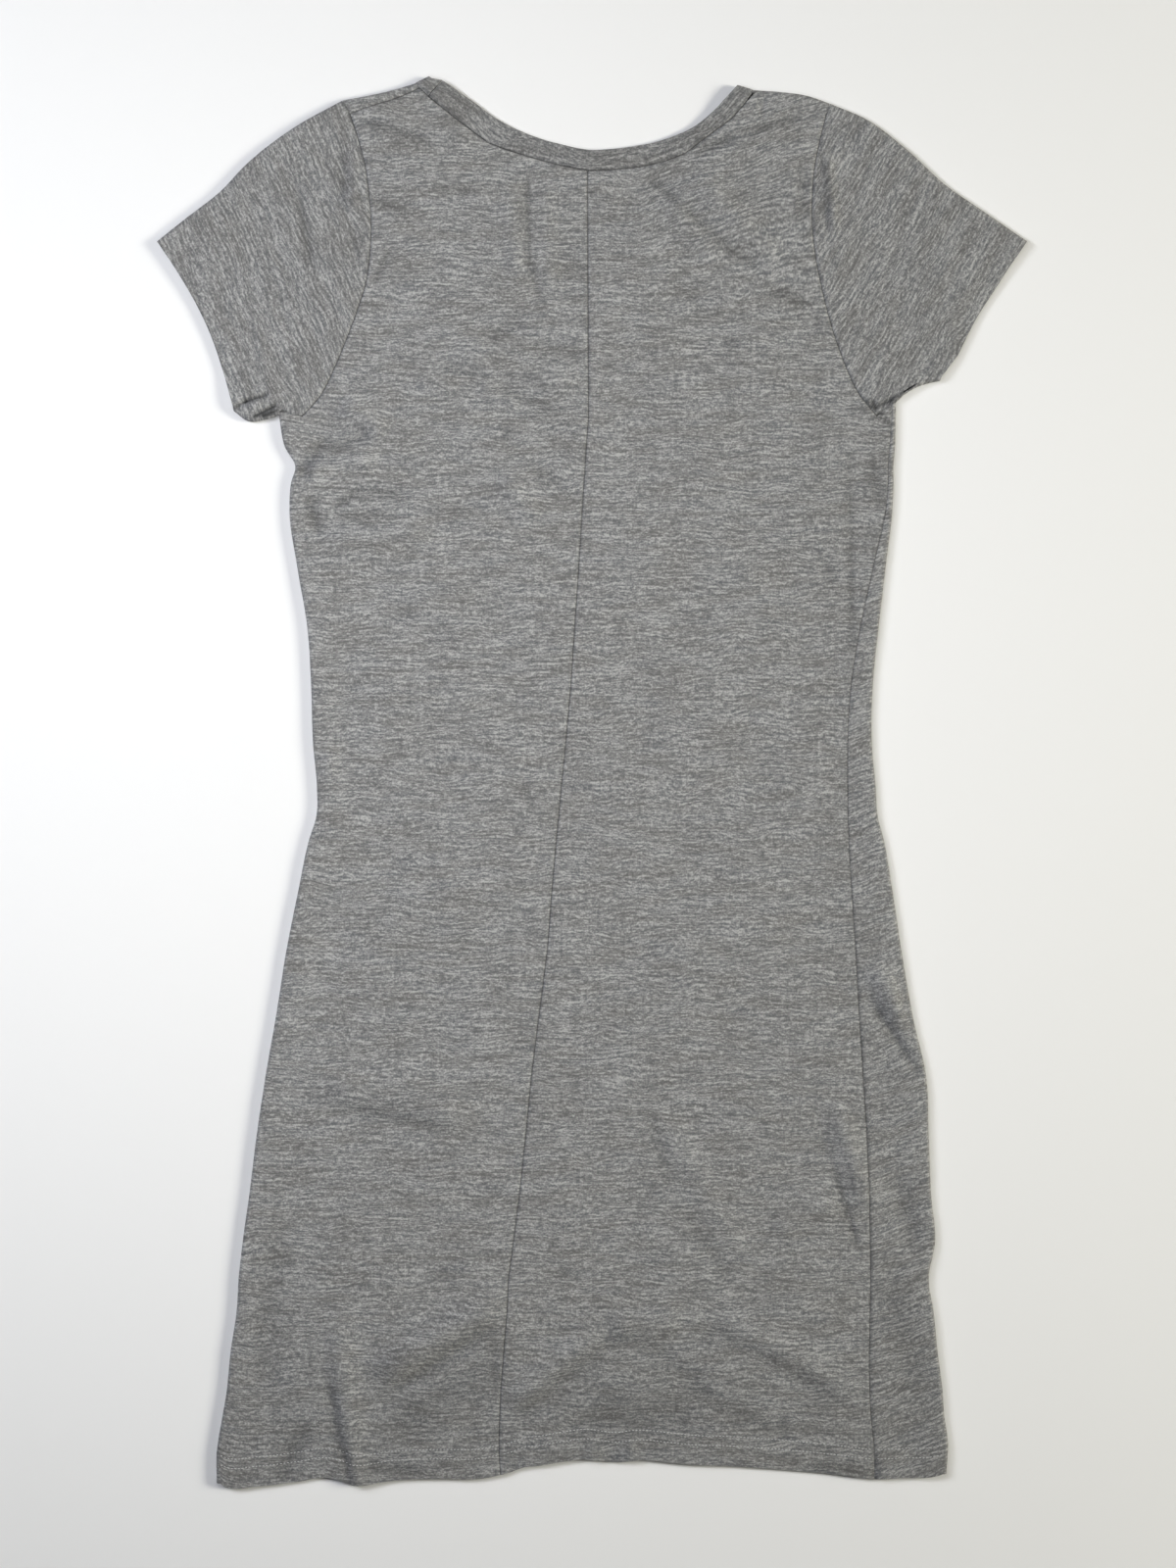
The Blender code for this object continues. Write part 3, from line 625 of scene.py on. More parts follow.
def upper(plan):
    """Plan points lifted to the upper layer."""
    plan = np.asarray(plan, float)
    dips = [seam_dip(line_distance(plan, line), deep) for line, (deep, shade) in zip(SEAM_LINES, SEAM_LOOKS)]
    height = np.maximum(plain_upper_z(plan) - np.max(dips, axis=0), DIP_FLOOR)
    return np.concatenate([plan, height[..., None]], axis=-1)


def lower(plan, height=LOWER_Z):
    """Plan points on the layer that lies on the table."""
    plan = np.asarray(plan, float)
    return np.concatenate([plan, np.full(plan.shape[:-1] + (1,), height)], axis=-1)


def turn_over(edge, way, angles, lift=0.0):
    """Points round a fold, from the lower layer at -90 degrees to the upper one at 90 degrees."""
    turn = np.radians(angles)[:, None]
    plan = edge + unit(way) * (FOLD_IN - FOLD_R * np.cos(turn))
    return np.hstack([plan, LOWER_Z + FOLD_R + FOLD_R * np.sin(turn) + lift])


def turn_rows(edges, ways, angles=np.linspace(-90, 90, 13)):
    """A grid round a fold, with one row for each place along its edge."""
    return np.array([turn_over(edge, way, angles) for edge, way in zip(edges, ways)])


def hem_shift(plan, level):
    """The sections near the hem follow its uneven line."""
    fade = 1 - smooth_step((level - BODY[0][0]) / HEM_FADE)
    rise = np.interp(plan[:, 0], HEM_LINE[:, 0], HEM_LINE[:, 1]) * fade
    return plan + np.column_stack([np.zeros(len(plan)), rise])


def body_strip(sides, shares, last_row):
    """Plan grid of one strip of the body. From the columns of a section, sides gives the x of both sides."""
    rows = []
    for y, *columns in BODY:
        first, last = sides(*columns)
        rows.append(hem_shift(between((first, y), (last, y), shares), y))
    return through(np.array(rows + [last_row]), LEVELS, FINE_LEVELS)


def patch(bottom, top, left, right, left_reach=1.0, right_reach=1.0):
    """Plan grid between four boundary lines: rows go from bottom to top, columns from left to right.

    The curve of a side is taken up by the columns within its reach, a share of the width.
    """
    u = (run_of(bottom) / run_of(bottom)[-1])[None, :, None]
    v = ((run_of(left) / run_of(left)[-1] + run_of(right) / run_of(right)[-1]) / 2)[:, None, None]
    grid = (1 - v) * bottom[None] + v * top[None]
    for line, share in ((left, 1 - u / left_reach), (right, 1 - (1 - u) / right_reach)):
        curve = line[:, None] - (1 - v) * line[0] - v * line[-1]
        grid = grid + np.clip(share, 0, 1) * curve
    return grid


def cornered(shares, share, first, second):
    """One line from two, which meet at the share nearest to the one given."""
    k = np.argmin(np.abs(shares - share))
    start, end = first(shares[: k + 1] / shares[k]), second((shares[k:] - shares[k]) / (1 - shares[k]))
    return np.vstack([start, end[1:]])


COURSE_RISE = 0.27  # of the courses towards the right shoulder
RISE_X, RISE_Y, RISE_FADE = 30, 290, 90  # where it starts


def on_body(points):
    """Where points of the body lie on the flat cloth, whose courses rise by the right shoulder."""
    x, y = points[..., 0], points[..., 1]
    rise = COURSE_RISE * np.clip(x - RISE_X, 0, None) * smooth_step((y - RISE_Y) / RISE_FADE)
    return np.stack([x, y - rise], axis=-1)


def rolled(points, way, tilt=0.0):
    """Where the rows of a strip that turns over a fold lie on the flat cloth."""
    run = np.cumsum(np.linalg.norm(np.diff(points, axis=1), axis=2), axis=1)
    run = np.concatenate([np.zeros((len(points), 1)), run], axis=1)
    start = on_body(points[:, :1])
    return np.stack([start[..., 0] + way * run, start[..., 1] + tilt * run], axis=-1)


def lay_patch(shape, points, weave):
    """Adds a patch of cloth to a shape. Each point keeps its place on the flat cloth and its painted shade."""
    rows, columns = points.shape[:2]
    layers = shape.verts.layers
    flat = layers.float_vector.get("weave") or layers.float_vector.new("weave")
    # The seam attribute holds painted shade: of the seams, the tucks and the lowest part of the skirt
    seam = layers.float.get("seam") or layers.float.new("seam")
    plan = points[..., :2]
    shades = [sum(shade * along_line(plan, *line) for *line, deep, shade in TUCKS)]
    for line, (deep, shade) in zip(SEAM_LINES, SEAM_LOOKS):
        shades.append(shade * np.exp(-((line_distance(plan, line) / SEAM_SHADE_REACH) ** 2)))
    shown = points[..., 2] > LOWER_Z + SEAM_GAP
    shades = np.clip(np.max(shades, axis=0), 0, DARKEST) * shown
    made = bmesh.ops.create_grid(shape, x_segments=columns - 1, y_segments=rows - 1, size=1)["verts"]
    for vert, point, place, shade in zip(made, points.reshape(-1, 3), weave.reshape(-1, 2), shades.ravel()):
        vert.co = point * MM
        vert[flat] = (place[0], place[1], 0)
        vert[seam] = shade


SHARPEST = 0.4  # keeps the move of a sharp corner short


def draw_in_edges(shape):
    """Moves each free edge back from its seam line, and further where body and sleeve meet under the arm."""
    corners = [corner_of(side)[0] for side in (LEFT, RIGHT)]
    moves = {}
    for vert in shape.verts:
        if not vert.is_boundary:
            continue
        inward = []
        for edge in vert.link_edges:
            if edge.is_boundary:
                face = edge.link_faces[0]
                along = (edge.verts[1].co - edge.verts[0].co).normalized()
                way = face.normal.cross(along)
                if way.dot(face.calc_center_median() - vert.co) < 0:
                    way.negate()
                inward.append(way.normalized())
        if len(inward) == 2:
            plan = np.array(vert.co[:2]) / MM
            near = min(np.linalg.norm(plan - corner) for corner in corners) < CORNER_REACH
            amount = (CORNER_GAP if near else SEAM_GAP) / 2 * MM
            moves[vert] = (inward[0] + inward[1]) * (amount / max(1 + inward[0].dot(inward[1]), SHARPEST))
    for vert, move in moves.items():
        vert.co += move


RIM_SHARE, RIM_ANGLE = 0.3, 60  # what is rounded off of the thickness, at edges over so many degrees


def make_cloth(name, patches, thick, finish, replaced, hem=None):
    """A piece of cloth from patches of points on its middle surface, thicker where a hem is turned up."""
    shape = bmesh.new()
    for points, weave in patches:
        lay_patch(shape, points, weave)
    bmesh.ops.remove_doubles(shape, verts=shape.verts, dist=WELD * MM)
    bmesh.ops.recalc_face_normals(shape, faces=shape.faces)
    draw_in_edges(shape)
    cloth = link_mesh(name, shape)
    cloth.data.materials.append(finish)
    cloth.data.shade_smooth()
    wall = cloth.modifiers.new("wall", "SOLIDIFY")
    wall.thickness = thick * MM
    wall.offset = 0
    if hem is not None:
        turned = cloth.vertex_groups.new(name="turned_hem")
        away = line_distance(np.array([vert.co[:2] for vert in cloth.data.vertices]) / MM, hem)
        for vert, share in zip(cloth.data.vertices, 1 - smooth_step(away - HEM_TURN)):
            turned.add([vert.index], share, "REPLACE")
        wall.vertex_group = turned.name
        wall.thickness = HEM_CLOTH * MM
        wall.thickness_vertex_group = thick / HEM_CLOTH
    rim = cloth.modifiers.new("rim", "BEVEL")
    rim.limit_method = "ANGLE"
    rim.angle_limit = np.radians(RIM_ANGLE)
    rim.width = thick * RIM_SHARE * MM
    rim.segments = 2
    rim.profile = 0.5
    bpy.context.view_layer.update()
    done = bpy.data.meshes.new_from_object(cloth.evaluated_get(bpy.context.evaluated_depsgraph_get()))
    done.validate()
    for vert in done.vertices:
        vert.co.z = max(vert.co.z, 0.0)
    cloth.modifiers.clear()
    cloth.data = done
    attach(cloth, "root")
    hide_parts(replaced)
    return cloth


class Wire:
    """A value that varies over a surface: one output of a material's nodes."""

    def __init__(self, tree, socket=None):
        self.tree = tree
        self.socket = socket

    def node(self, kind, settings, sockets, output=0):
        made = self.tree.nodes.new(kind)
        for name, value in settings.items():
            setattr(made, name, value)
        for name, value in sockets.items():
            if isinstance(value, Wire):
                self.tree.links.new(value.socket, made.inputs[name])
            else:
                made.inputs[name].default_value = value
        return Wire(self.tree, made.outputs[output])

    def math(self, operation, first, second):
        return self.node("ShaderNodeMath", {"operation": operation}, {0: first, 1: second})

    def __add__(self, other):
        return self.math("ADD", self, other)

    def __sub__(self, other):
        return self.math("SUBTRACT", self, other)

    def __rsub__(self, other):
        return self.math("SUBTRACT", other, self)

    def __mul__(self, other):
        return self.math("MULTIPLY", self, other)

    __radd__ = __add__
    __rmul__ = __mul__

    def stretched(self, sizes):
        """A vector measured in the given sizes."""
        scale = tuple(1 / size for size in sizes)
        return self.node("ShaderNodeVectorMath", {"operation": "MULTIPLY"}, {0: self, 1: scale})

    def mix(self, share, first, second):
        """One colour turning to another."""
        ends = [value if isinstance(value, Wire) else (*value, 1) for value in (first, second)]
        settings = {"data_type": "RGBA", "clamp_factor": True}
        return self.node("ShaderNodeMix", settings, {"Factor": share, "A": ends[0], "B": ends[1]}, "Result")

    def noise(self, sizes, detail=0.0, roughness=0.5):
        """Smooth noise from -1 to 1 with features of the given sizes in millimetres."""
        sockets = {"Vector": self.stretched(sizes), "Scale": 1.0, "Detail": detail, "Roughness": roughness}
        return self.node("ShaderNodeTexNoise", {}, sockets) * 2.0 - 1.0


def hem_stitches(name, x_from, x_to, finish):
    """Two rows of thread above the hem of the layer that shows, in short stitches pressed into the cloth."""
    shape = bmesh.new()
    xs = np.arange(x_from, x_to - STITCH, STITCH_PITCH)
    for above in STITCH_ROWS:
        ends = []
        for x in (xs, xs + STITCH):
            plan = np.column_stack([x, BODY[0][0] + above + np.interp(x, *HEM_LINE.T)])
            ends.append(upper(plan) + (0, 0, HEM_CLOTH / 2))
        for a, b in zip(*ends):
            turn = Vector(b - a).to_track_quat("X", "Z").to_matrix().to_4x4()
            place = Matrix.Translation(Vector((a + b) / 2 * MM)) @ turn
            size = Matrix.Diagonal((STITCH * MM, THREAD * MM, THREAD * MM, 1))
            bmesh.ops.create_uvsphere(shape, u_segments=6, v_segments=4, radius=0.5, matrix=place @ size)
    stitches = link_mesh(name, shape)
    stitches.data.materials.append(finish)
    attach(stitches, "root")
    return stitches


def thread_finish():
    """Matt grey polyester sewing thread."""
    material = bpy.data.materials.new("thread")
    material.use_nodes = True
    surface = material.node_tree.nodes["Principled BSDF"]
    surface.inputs["Base Color"].default_value = (0.5, 0.5, 0.5, 1)
    surface.inputs["Roughness"].default_value = 0.7
    return material


SWAY = 4.5  # how far the courses wander
# Near black, for the painted shade in seams, tucks and the lowest part of the skirt
PAINTED_SHADE_COLOUR = (0.02, 0.02, 0.02)


def jersey(name, dark, cool, light, seed):
    """Heather jersey: dark, cooler dark and light fibres in streaks along the courses, with painted shade in
    seams and tucks.

    The sizes of each noise are along and across the courses; a seed gives every cloth its own streaks.
    """
    material = bpy.data.materials.new(name)
    material.use_nodes = True
    surface = material.node_tree.nodes["Principled BSDF"]
    start = Wire(material.node_tree)
    weave = start.node("ShaderNodeAttribute", {"attribute_name": "weave"}, {}, "Vector")
    weave = start.node("ShaderNodeVectorMath", {"operation": "ADD"}, {0: weave, 1: (0, 0, seed)})
    sway = weave.noise((38, 26, 1), 1.0)
    shift = start.node("ShaderNodeCombineXYZ", {}, {"Y": sway * SWAY})
    course = start.node("ShaderNodeVectorMath", {"operation": "ADD"}, {0: weave, 1: shift})
    streaks = course.noise((26, 1.6, 1), 2.0, 0.6)
    strands = course.noise((7, 1.5, 1), 1.0)
    flecks = course.noise((2.6, 1.3, 1))
    grain = course.noise((1.1, 0.9, 1))
    cloud = weave.noise((34, 9, 1), 1.0)
    share = 0.585 + 0.6 * streaks + 0.52 * strands + 0.42 * flecks + 0.44 * grain + 0.19 * cloud
    share = share.math("MAXIMUM", share, 0.0)
    share = share * share
    yarn = start.mix(share, start.mix(0.5 + 1.6 * cloud, dark, cool), light)
    seam = start.node("ShaderNodeAttribute", {"attribute_name": "seam"}, {}, "Fac")
    # Painted shade: the yarn turns towards near black as far as the seam attribute says
    colour = start.mix(seam, yarn, PAINTED_SHADE_COLOUR)
    height = 0.5 * streaks + 0.5 * strands + grain
    bump = start.node("ShaderNodeBump", {}, {"Height": height, "Strength": 0.35, "Distance": 0.00012})
    links = material.node_tree.links
    links.new(colour.socket, surface.inputs["Base Color"])
    links.new(bump.socket, surface.inputs["Normal"])
    surface.inputs["Roughness"].default_value = 0.88
    surface.inputs["Specular IOR Level"].default_value = 0.25
    surface.inputs["Sheen Weight"].default_value = 0.08
    surface.inputs["Sheen Roughness"].default_value = 0.6
    return material


HEM_STEP = 2
HEM_LINE = through(np.array(HEM), np.array(HEM)[:, 0], denser(np.array(HEM)[:, 0], HEM_STEP))
BODY_HEM = np.array(HEM) + (0, BODY[0][0])
LEVELS = np.array([row[0] for row in BODY] + [UNDERARM_Y])
LAST_RISE = spread(LEVELS[-1] - LEVELS[-2], seam_last=True) * (LEVELS[-1] - LEVELS[-2])
FINE_LEVELS = np.concatenate([denser(LEVELS[:-1], STEP)[:-1], LEVELS[-2] + LAST_RISE])
FRONT_NECK = front_neck()
FOLD_LINES = fold_lines()
SEAM_LINES = seam_lines()

PANEL_WIDTH, ARM_LENGTH = 190, 200  # rough sizes, for the number of points

centre_underarm = np.array([CENTRE_AT_UNDERARM, UNDERARM_Y])
left_edge, left_crown, left_end = corner_of(LEFT)
left_shares = spread(PANEL_WIDTH, seam_first=True, seam_last=True)
arm_shares = spread(ARM_LENGTH, seam_last=True)
fold_shares = spread(SIDE_IN - FOLD_IN)

left_main = body_strip(
    lambda left, right, centre, strip: (left + SIDE_IN, centre), left_shares,
    between(left_end, centre_underarm, left_shares),
)
left_inner = body_strip(
    lambda left, right, centre, strip: (left + SIDE_IN, left + FOLD_IN), fold_shares,
    between(left_end, left_crown, fold_shares),
)
left_outline = body_strip(lambda left, right, centre, strip: (left, left), [0], [left_edge])[:, 0]
corner_blend = smooth_step((FINE_LEVELS - LEVELS[-2]) / (LEVELS[-1] - LEVELS[-2]))[:, None]
left_ways = (1 - corner_blend) * np.array([1, 0]) + corner_blend * unit(CORNER_DIRECTIONS[LEFT])
left_turn = turn_rows(left_outline, left_ways)[:, ::-1]
left_flank = np.hstack([upper(left_inner)[:, :-1], left_turn, lower(left_inner[:, :1])])
left_top = cornered(
    left_shares, SHOULDER_SHARE, shoulder_seam,
    lambda shares: smooth_line(np.vstack([shoulder_seam([1.0]), neck_line(0, CENTRE_SECTION)]), shares),
)
left_upper = patch(
    between(left_end, centre_underarm, left_shares), left_top,
    smooth_line(armhole(LEFT), arm_shares), between(centre_underarm, left_top[-1], arm_shares),
    SHOULDER_SHARE,
)
back_jersey = jersey("back_jersey", (0.119, 0.117, 0.116), (0.108, 0.112, 0.12), (0.388, 0.387, 0.378), 0)
back_left = make_cloth(
    "back_left_cloth",
    [
        (upper(left_main), on_body(left_main)),
        (left_flank, rolled(left_flank, -1)),
        (upper(left_upper), on_body(left_upper)),
    ],
    CLOTH, back_jersey, "back_left", BODY_HEM,
)
thread = thread_finish()
hem_centre = BODY[0][3]
left_stitches = hem_stitches(
    "left_hem_stitches", BODY[0][1] + FOLD_IN, hem_centre - STITCH_FROM_SEAM, thread
)

# Right back panel. The same jersey, from the centre-back seam to the side seam, which shows because the dress
# lies a little turned. Over the right shoulder it goes up to the crown of the fold, where it meets the front.
SEAM_STEP = 8.4  # from the side seam to the full columns of the panel
SIDE_SEAM_TOP = 0.12  # of the way from the crown under the arm to the end of the armhole
RIGHT_WIDTH, RIGHT_ARM_LENGTH = 200, 205  # rough sizes, for the number of points
ARM_SHARE = 0.976  # of the panel's side above the underarm, taken by the armhole

right_edge, right_crown, right_end = corner_of(RIGHT)
right_seam_end = right_crown + (right_end - right_crown) * SIDE_SEAM_TOP
right_shares = spread(RIGHT_WIDTH, seam_first=True, seam_last=True)
side_shares = spread(SEAM_STEP, seam_last=True)

right_main = body_strip(
    lambda left, right, centre, strip: (centre, right - strip - SEAM_STEP), right_shares,
    between(centre_underarm, right_end, right_shares),
)
right_side = body_strip(
    lambda left, right, centre, strip: (right - strip - SEAM_STEP, right - strip), side_shares,
    between(right_end, right_seam_end, side_shares),
)
right_top = cornered(
    right_shares, 1 - SHOULDER_SHARE,
    lambda shares: smooth_line(neck_line(CENTRE_SECTION, len(NECK) - 1), shares),
    lambda shares: shoulder_points(RIGHT, 1 - shares, FOLD_IN)[0],
)
right_arm = cornered(
    spread(RIGHT_ARM_LENGTH, seam_last=True), ARM_SHARE,
    lambda shares: smooth_line(armhole(RIGHT), shares),
    lambda shares: between(armhole(RIGHT)[-1], right_top[-1], shares),
)
right_upper = patch(
    between(centre_underarm, right_end, right_shares), right_top,
    between(centre_underarm, right_top[0], run_of(right_arm) / run_of(right_arm)[-1]), right_arm,
    1, SHOULDER_SHARE,
)
shoulder_columns = np.argmin(np.abs(right_shares - (1 - SHOULDER_SHARE)))
lip_shares = (1 - right_shares[shoulder_columns:]) / (1 - right_shares[shoulder_columns])
lip_crowns, lip_ways = shoulder_points(RIGHT, lip_shares, 0.0)
right_lip = turn_rows(lip_crowns, lip_ways, np.linspace(90, 0, 7))
back_right = make_cloth(
    "back_right_cloth",
    [
        (upper(right_main), on_body(right_main)),
        (upper(right_side), on_body(right_side)),
        (upper(right_upper), on_body(right_upper)),
        (right_lip, on_body(right_lip)),
    ],
    CLOTH, back_jersey, "back_right", BODY_HEM,
)
hem_side = BODY[0][2] - BODY[0][4]
right_stitches = hem_stitches(
    "right_hem_stitches", hem_centre + STITCH_FROM_SEAM, hem_side - STITCH_FROM_SEAM, thread
)

# Front panel. One piece of jersey that lies on the table. It turns up over the right fold as far as the side
# seam, and over both shoulders, on the left as far as the shoulder seam. Its neckline is cut deeper.
FRONT_WIDTH, WRAP_WIDTH, FRONT_ARM_LENGTH = 360, 40, 200  # rough sizes, for the number of points
HIDDEN_STEP, HIDDEN_ARM_STEP = 9.0, 6  # between the points of the hidden layer
FRONT_SHOULDER = 1 / 6  # of the width of the panel, taken by each shoulder
STRIP_TILT = 0.3  # how much the courses of the strip rise away from its seam
OVER_WIDTH, OVER_STEP = 7, 1.5  # from the left shoulder's fold to its seam
TINY = 1e-9  # takes in a share that is only rounded off

front_shares = spread(FRONT_WIDTH, step=HIDDEN_STEP)
front_shares = np.unique(np.concatenate([front_shares, [FRONT_SHOULDER, 1 - FRONT_SHOULDER]]))
front_end = between(left_end, right_end, front_shares)
wrap_shares = spread(WRAP_WIDTH)

front_main = body_strip(
    lambda left, right, centre, strip: (left + SIDE_IN, right - SIDE_IN), front_shares, front_end
)
right_inner = body_strip(
    lambda left, right, centre, strip: (right - SIDE_IN, right - FOLD_IN), [0, 1],
    between(right_end, right_crown, [0, 1]),
)
right_wrap = body_strip(
    lambda left, right, centre, strip: (right - FOLD_IN, right - strip), wrap_shares,
    between(right_crown, right_seam_end, wrap_shares),
)
right_outline = body_strip(lambda left, right, centre, strip: (right, right), [0], [right_edge])[:, 0]
right_ways = (1 - corner_blend) * np.array([-1, 0]) + corner_blend * unit(CORNER_DIRECTIONS[RIGHT])
right_turn = turn_rows(right_outline, right_ways)
right_flank = np.hstack([lower(right_inner[:, :1]), right_turn, upper(right_wrap)[:, 1:]])

left_part = front_shares <= FRONT_SHOULDER + TINY
right_part = front_shares >= 1 - FRONT_SHOULDER - TINY
left_part_shares = front_shares[left_part] / FRONT_SHOULDER
right_part_shares = (1 - front_shares[right_part]) / FRONT_SHOULDER
neck_shares = (front_shares[~left_part & ~right_part] - FRONT_SHOULDER) / (1 - 2 * FRONT_SHOULDER)
front_top = np.vstack([
    shoulder_points(LEFT, left_part_shares, FOLD_IN)[0],
    smooth_line(FRONT_NECK, neck_shares),
    shoulder_points(RIGHT, right_part_shares, FOLD_IN)[0],
])
front_arm_shares = spread(FRONT_ARM_LENGTH, step=HIDDEN_ARM_STEP)
front_arms = []
for side, corner in ((LEFT, front_top[0]), (RIGHT, front_top[-1])):
    front_arms.append(smooth_line(np.vstack([armhole(side, front=True), corner]), front_arm_shares))
front_upper = patch(front_end, front_top, *front_arms, FRONT_SHOULDER, FRONT_SHOULDER)
left_over_edge, left_over_ways = shoulder_points(LEFT, left_part_shares, 0.0)
left_over = turn_rows(left_over_edge, left_over_ways)
over_shares = spread(OVER_WIDTH, seam_last=True, step=OVER_STEP)
to_seam = []
for turned, seam in zip(left_over, shoulder_seam(left_part_shares)):
    to_seam.append(between(turned[-1, :2], seam, over_shares))
left_shoulder = np.hstack([left_over[:, :-1], upper(to_seam)])
right_over_edge, right_over_ways = shoulder_points(RIGHT, right_part_shares, 0.0)
right_over = turn_rows(right_over_edge, right_over_ways, np.linspace(-90, 0, 7))
front = make_cloth(
    "front_cloth",
    [
        (lower(front_main), on_body(front_main)),
        (right_flank, rolled(right_flank, 1, STRIP_TILT)),
        (lower(front_upper), on_body(front_upper)),
        (left_shoulder, on_body(left_shoulder)),
        (right_over, on_body(right_over)),
    ],
    CLOTH, back_jersey, "front", BODY_HEM,
)
front_stitches = hem_stitches("front_hem_stitches", hem_side + STITCH_FROM_SEAM, BODY[0][2] - FOLD_IN, thread)

# Sleeves. Each is one piece of jersey closed to a tube under the arm and pressed flat. Its courses run round
# the arm, so they lie along its hem. It is overlocked into the armhole.
SLEEVE_STEP = 1.6
SLEEVE_LENGTH, SLEEVE_WIDTH = 95, 190  # rough sizes, for the number of points
OVER_STRIP, CORNER_STRIPS = 8, (20, 13)  # and those of the strips beside the folds


def ways_between(first, last, shares):
    """Directions that turn from the first to the last."""
    ways = (1 - shares) * unit(first) + shares * unit(last)
    return ways / np.linalg.norm(ways, axis=1)[:, None]


def sleeve_patches(side):
    """The upper and the lower half of a sleeve, and the strips that turn over its two folds."""
    long_shares = spread(SLEEVE_LENGTH, seam_first=True, step=SLEEVE_STEP)
    arm = armhole(side)
    front_arm = armhole(side, front=True)
    round_shares = spread(SLEEVE_WIDTH, step=SLEEVE_STEP)
    shares = long_shares[:, None]
    over = smooth_line(side_of(OVER_ARM, side), long_shares)
    under = smooth_line(side_of(UNDER_ARM, side), long_shares)
    over_ways = ways_between(SHOULDER_DIRECTIONS[side], TIP_DIRECTIONS[side], shares)
    under_ways = ways_between(CORNER_DIRECTIONS[side], CUFF_DIRECTIONS[side], shares)
    tops = over + over_ways * SHOULDER[0][4]
    tops = tops + (arm[-1] - tops[0]) * (1 - shares) ** 2
    cuff = side_of(SLEEVE_HEM, side)
    inner = [between(line[1], cuff[0], long_shares) for line in (arm, front_arm)]
    hem = smooth_line(np.vstack([cuff, tops[-1:]]), round_shares)
    over_crown = over + over_ways * FOLD_IN
    under_crown = under + under_ways * FOLD_IN
    first, second = [spread(width, step=SLEEVE_STEP) for width in CORNER_STRIPS]
    flat, corners = [], []
    for line, start in zip((arm, front_arm), inner):
        flat.append(patch(smooth_line(line[1:], round_shares), hem, start, tops))
        near = np.vstack([between(line[1], line[0], first), between(line[0], under_crown[0], second)[1:]])
        far = between(start[-1], under_crown[-1], run_of(near) / run_of(near)[-1])
        corners.append(patch(near, far, start, under_crown))
    over_plan = np.array([between(a, b, spread(OVER_STRIP)) for a, b in zip(tops, over_crown)])
    over_turn = turn_rows(over, over_ways)[:, ::-1]
    under_turn = turn_rows(under, under_ways)[:, ::-1]
    over_strip = np.hstack([upper(over_plan)[:, :-1], over_turn, lower(over_plan[:, ::-1])[:, 1:]])
    under_strip = np.hstack([upper(corners[0])[:, :-1], under_turn, lower(corners[1][:, ::-1])[:, 1:]])
    return [upper(flat[0]), lower(flat[1]), over_strip, under_strip]


def on_sleeve(points, side):
    """Where points of a sleeve lie on its flat cloth: along its hem and away from it."""
    cuff = side_of(SLEEVE_HEM, side)
    along = unit(cuff[-1] - cuff[0])
    away = points[..., :2] - cuff[0]
    return np.stack([away @ along, away @ np.array([-along[1], along[0]])], axis=-1)


sleeve_jersey = jersey("sleeve_jersey", (0.113, 0.111, 0.11), (0.103, 0.107, 0.115), (0.37, 0.369, 0.361), 40)
for side, node in ((LEFT, "sleeve_left"), (RIGHT, "sleeve_right")):
    patches = [(points, on_sleeve(points, side)) for points in sleeve_patches(side)]
    sleeve = make_cloth(node + "_cloth", patches, CLOTH, sleeve_jersey, node, side_of(SLEEVE_HEM, side))

# Neckband. One strip of the jersey folded double along its length and sewn round the neck by its open edges.
# Its ends are joined near the left shoulder, where the joint shows as a short line across it.
BAND = 1.4  # thickness of the double strip
BAND_JOINT = 0.12  # gap at the joint
BAND_STEP = 1.6


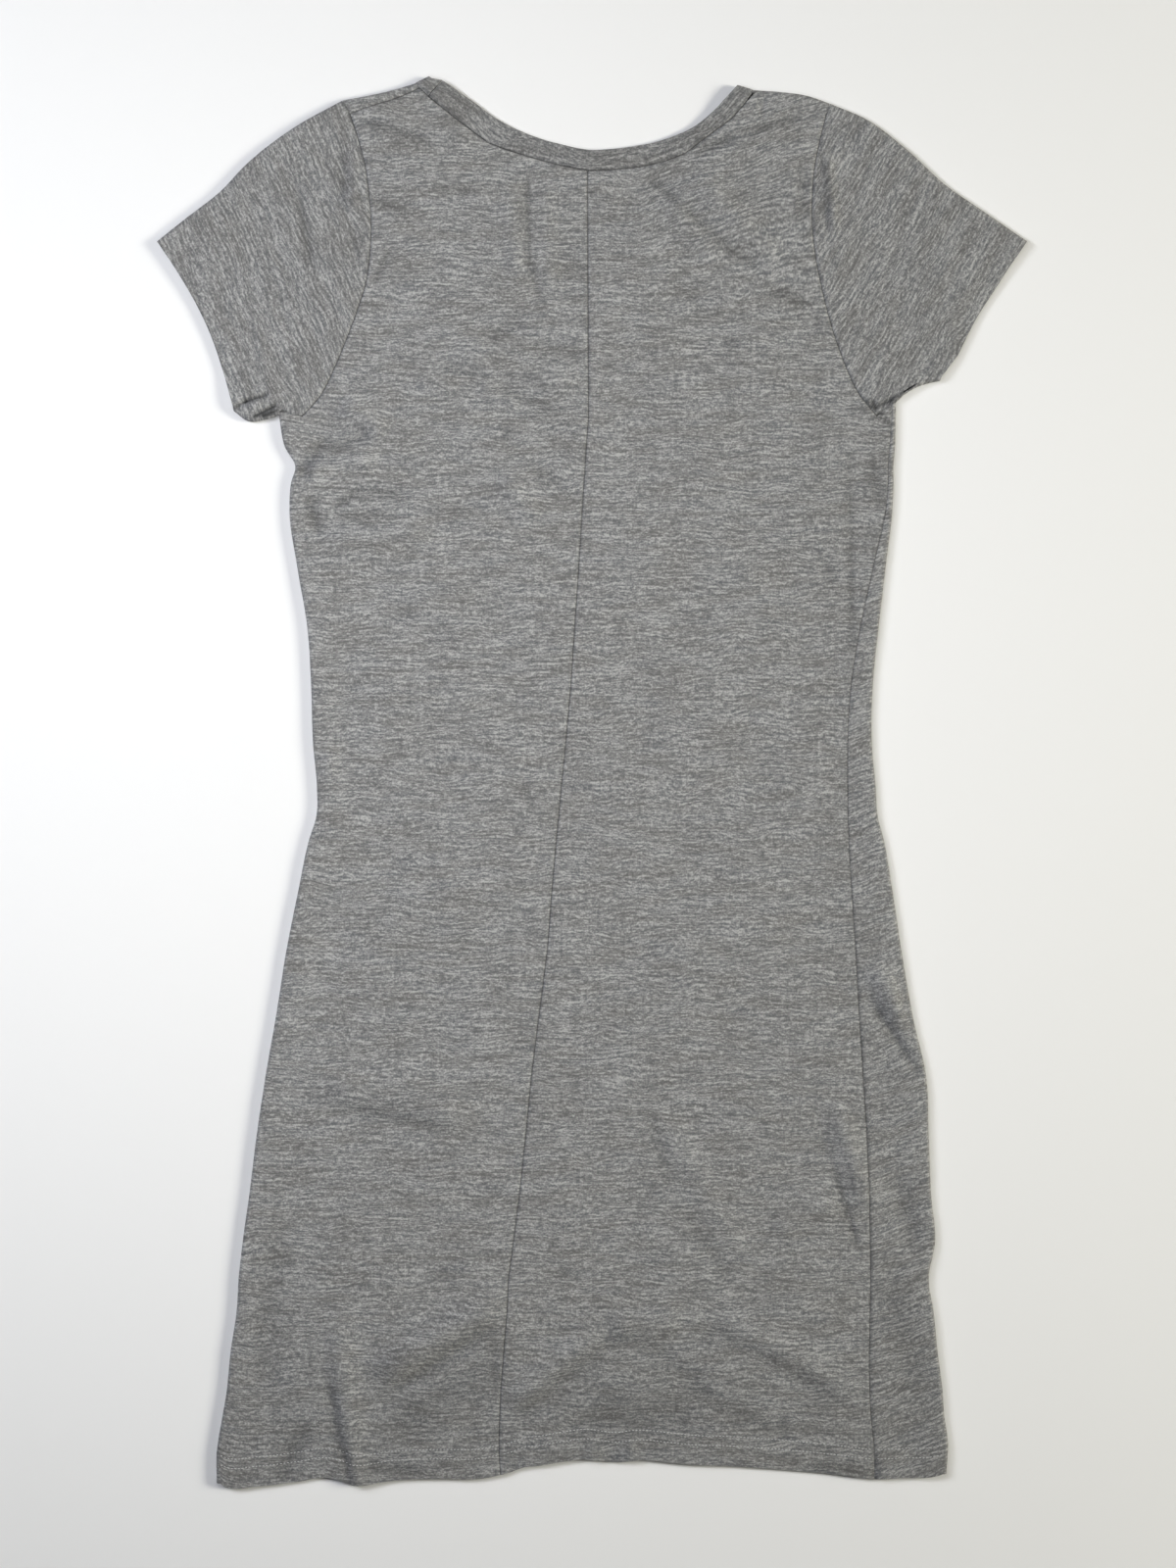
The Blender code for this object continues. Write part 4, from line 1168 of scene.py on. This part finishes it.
def band_line():
    """The band's seam and its free edge, all the way round from its joint."""
    lift = np.array([0, 0, (BAND - CLOTH) / 2])
    corners = [side_of(SHOULDER, side)[-1] for side in (LEFT, RIGHT)]
    edges = [np.array(corner) for corner in EDGE_CORNERS]
    turn = np.linspace(-90, 90, 9)
    seams = [turn_over(corners[side], NECK_DIRECTIONS[side], turn) + lift for side in (LEFT, RIGHT)]
    frees = [turn_over(edges[side], EDGE_DIRECTIONS[side], turn) + lift for side in (LEFT, RIGHT)]
    back = [np.array([row[k : k + 2] for row in NECK]) for k in (0, 2)]
    back = [np.column_stack([line, plain_upper_z(line)]) + lift for line in back]
    along = np.gradient(FRONT_NECK, axis=0)
    across = np.column_stack([-along[:, 1], along[:, 0]]) / np.linalg.norm(along, axis=1)[:, None]
    front = [lower(line[-2:0:-1], BAND / 2) for line in (FRONT_NECK, FRONT_NECK + across * BAND_WIDTH)]
    knee = shoulder_seam([1.0])
    knee = np.column_stack([knee, plain_upper_z(knee)]) + lift
    knee_free = (frees[LEFT][-1:] * 2 + back[1][:1]) / 3
    seam = np.vstack([back[0], seams[RIGHT][::-1], front[0], seams[LEFT], knee, back[0][:1]])
    free = np.vstack([back[1], frees[RIGHT][::-1], front[1], frees[LEFT], knee_free, back[1][:1]])
    return seam, free


def band_patch():
    """Points of the band, and where each lies on the flat strip."""
    seam, free = band_line()
    run = run_of((seam + free) / 2)
    wanted = denser(run, STEP)
    seam, free = through(seam, run, wanted), through(free, run, wanted)
    for line in (seam, free):
        line[-1] += unit(line[-2] - line[-1]) * BAND_JOINT
    shares = spread(BAND_WIDTH, seam_first=True, step=BAND_STEP)[:, None, None]
    points = (1 - shares) * seam + shares * free
    away = shares[..., 0] * BAND_WIDTH
    neck_dip = seam_dip(away, SEAM_LOOKS[NECK_SEAM][0])
    points[..., 2] = np.maximum(points[..., 2] - neck_dip, BAND / 2)
    sizes = points.shape[:2]
    return points, np.stack([np.broadcast_to(wanted, sizes), np.broadcast_to(away, sizes)], axis=-1)


band_jersey = jersey("band_jersey", (0.1, 0.098, 0.097), (0.092, 0.095, 0.101), (0.325, 0.324, 0.317), 80)
neckband = make_cloth("neckband_cloth", [band_patch()], BAND, band_jersey, "neckband")
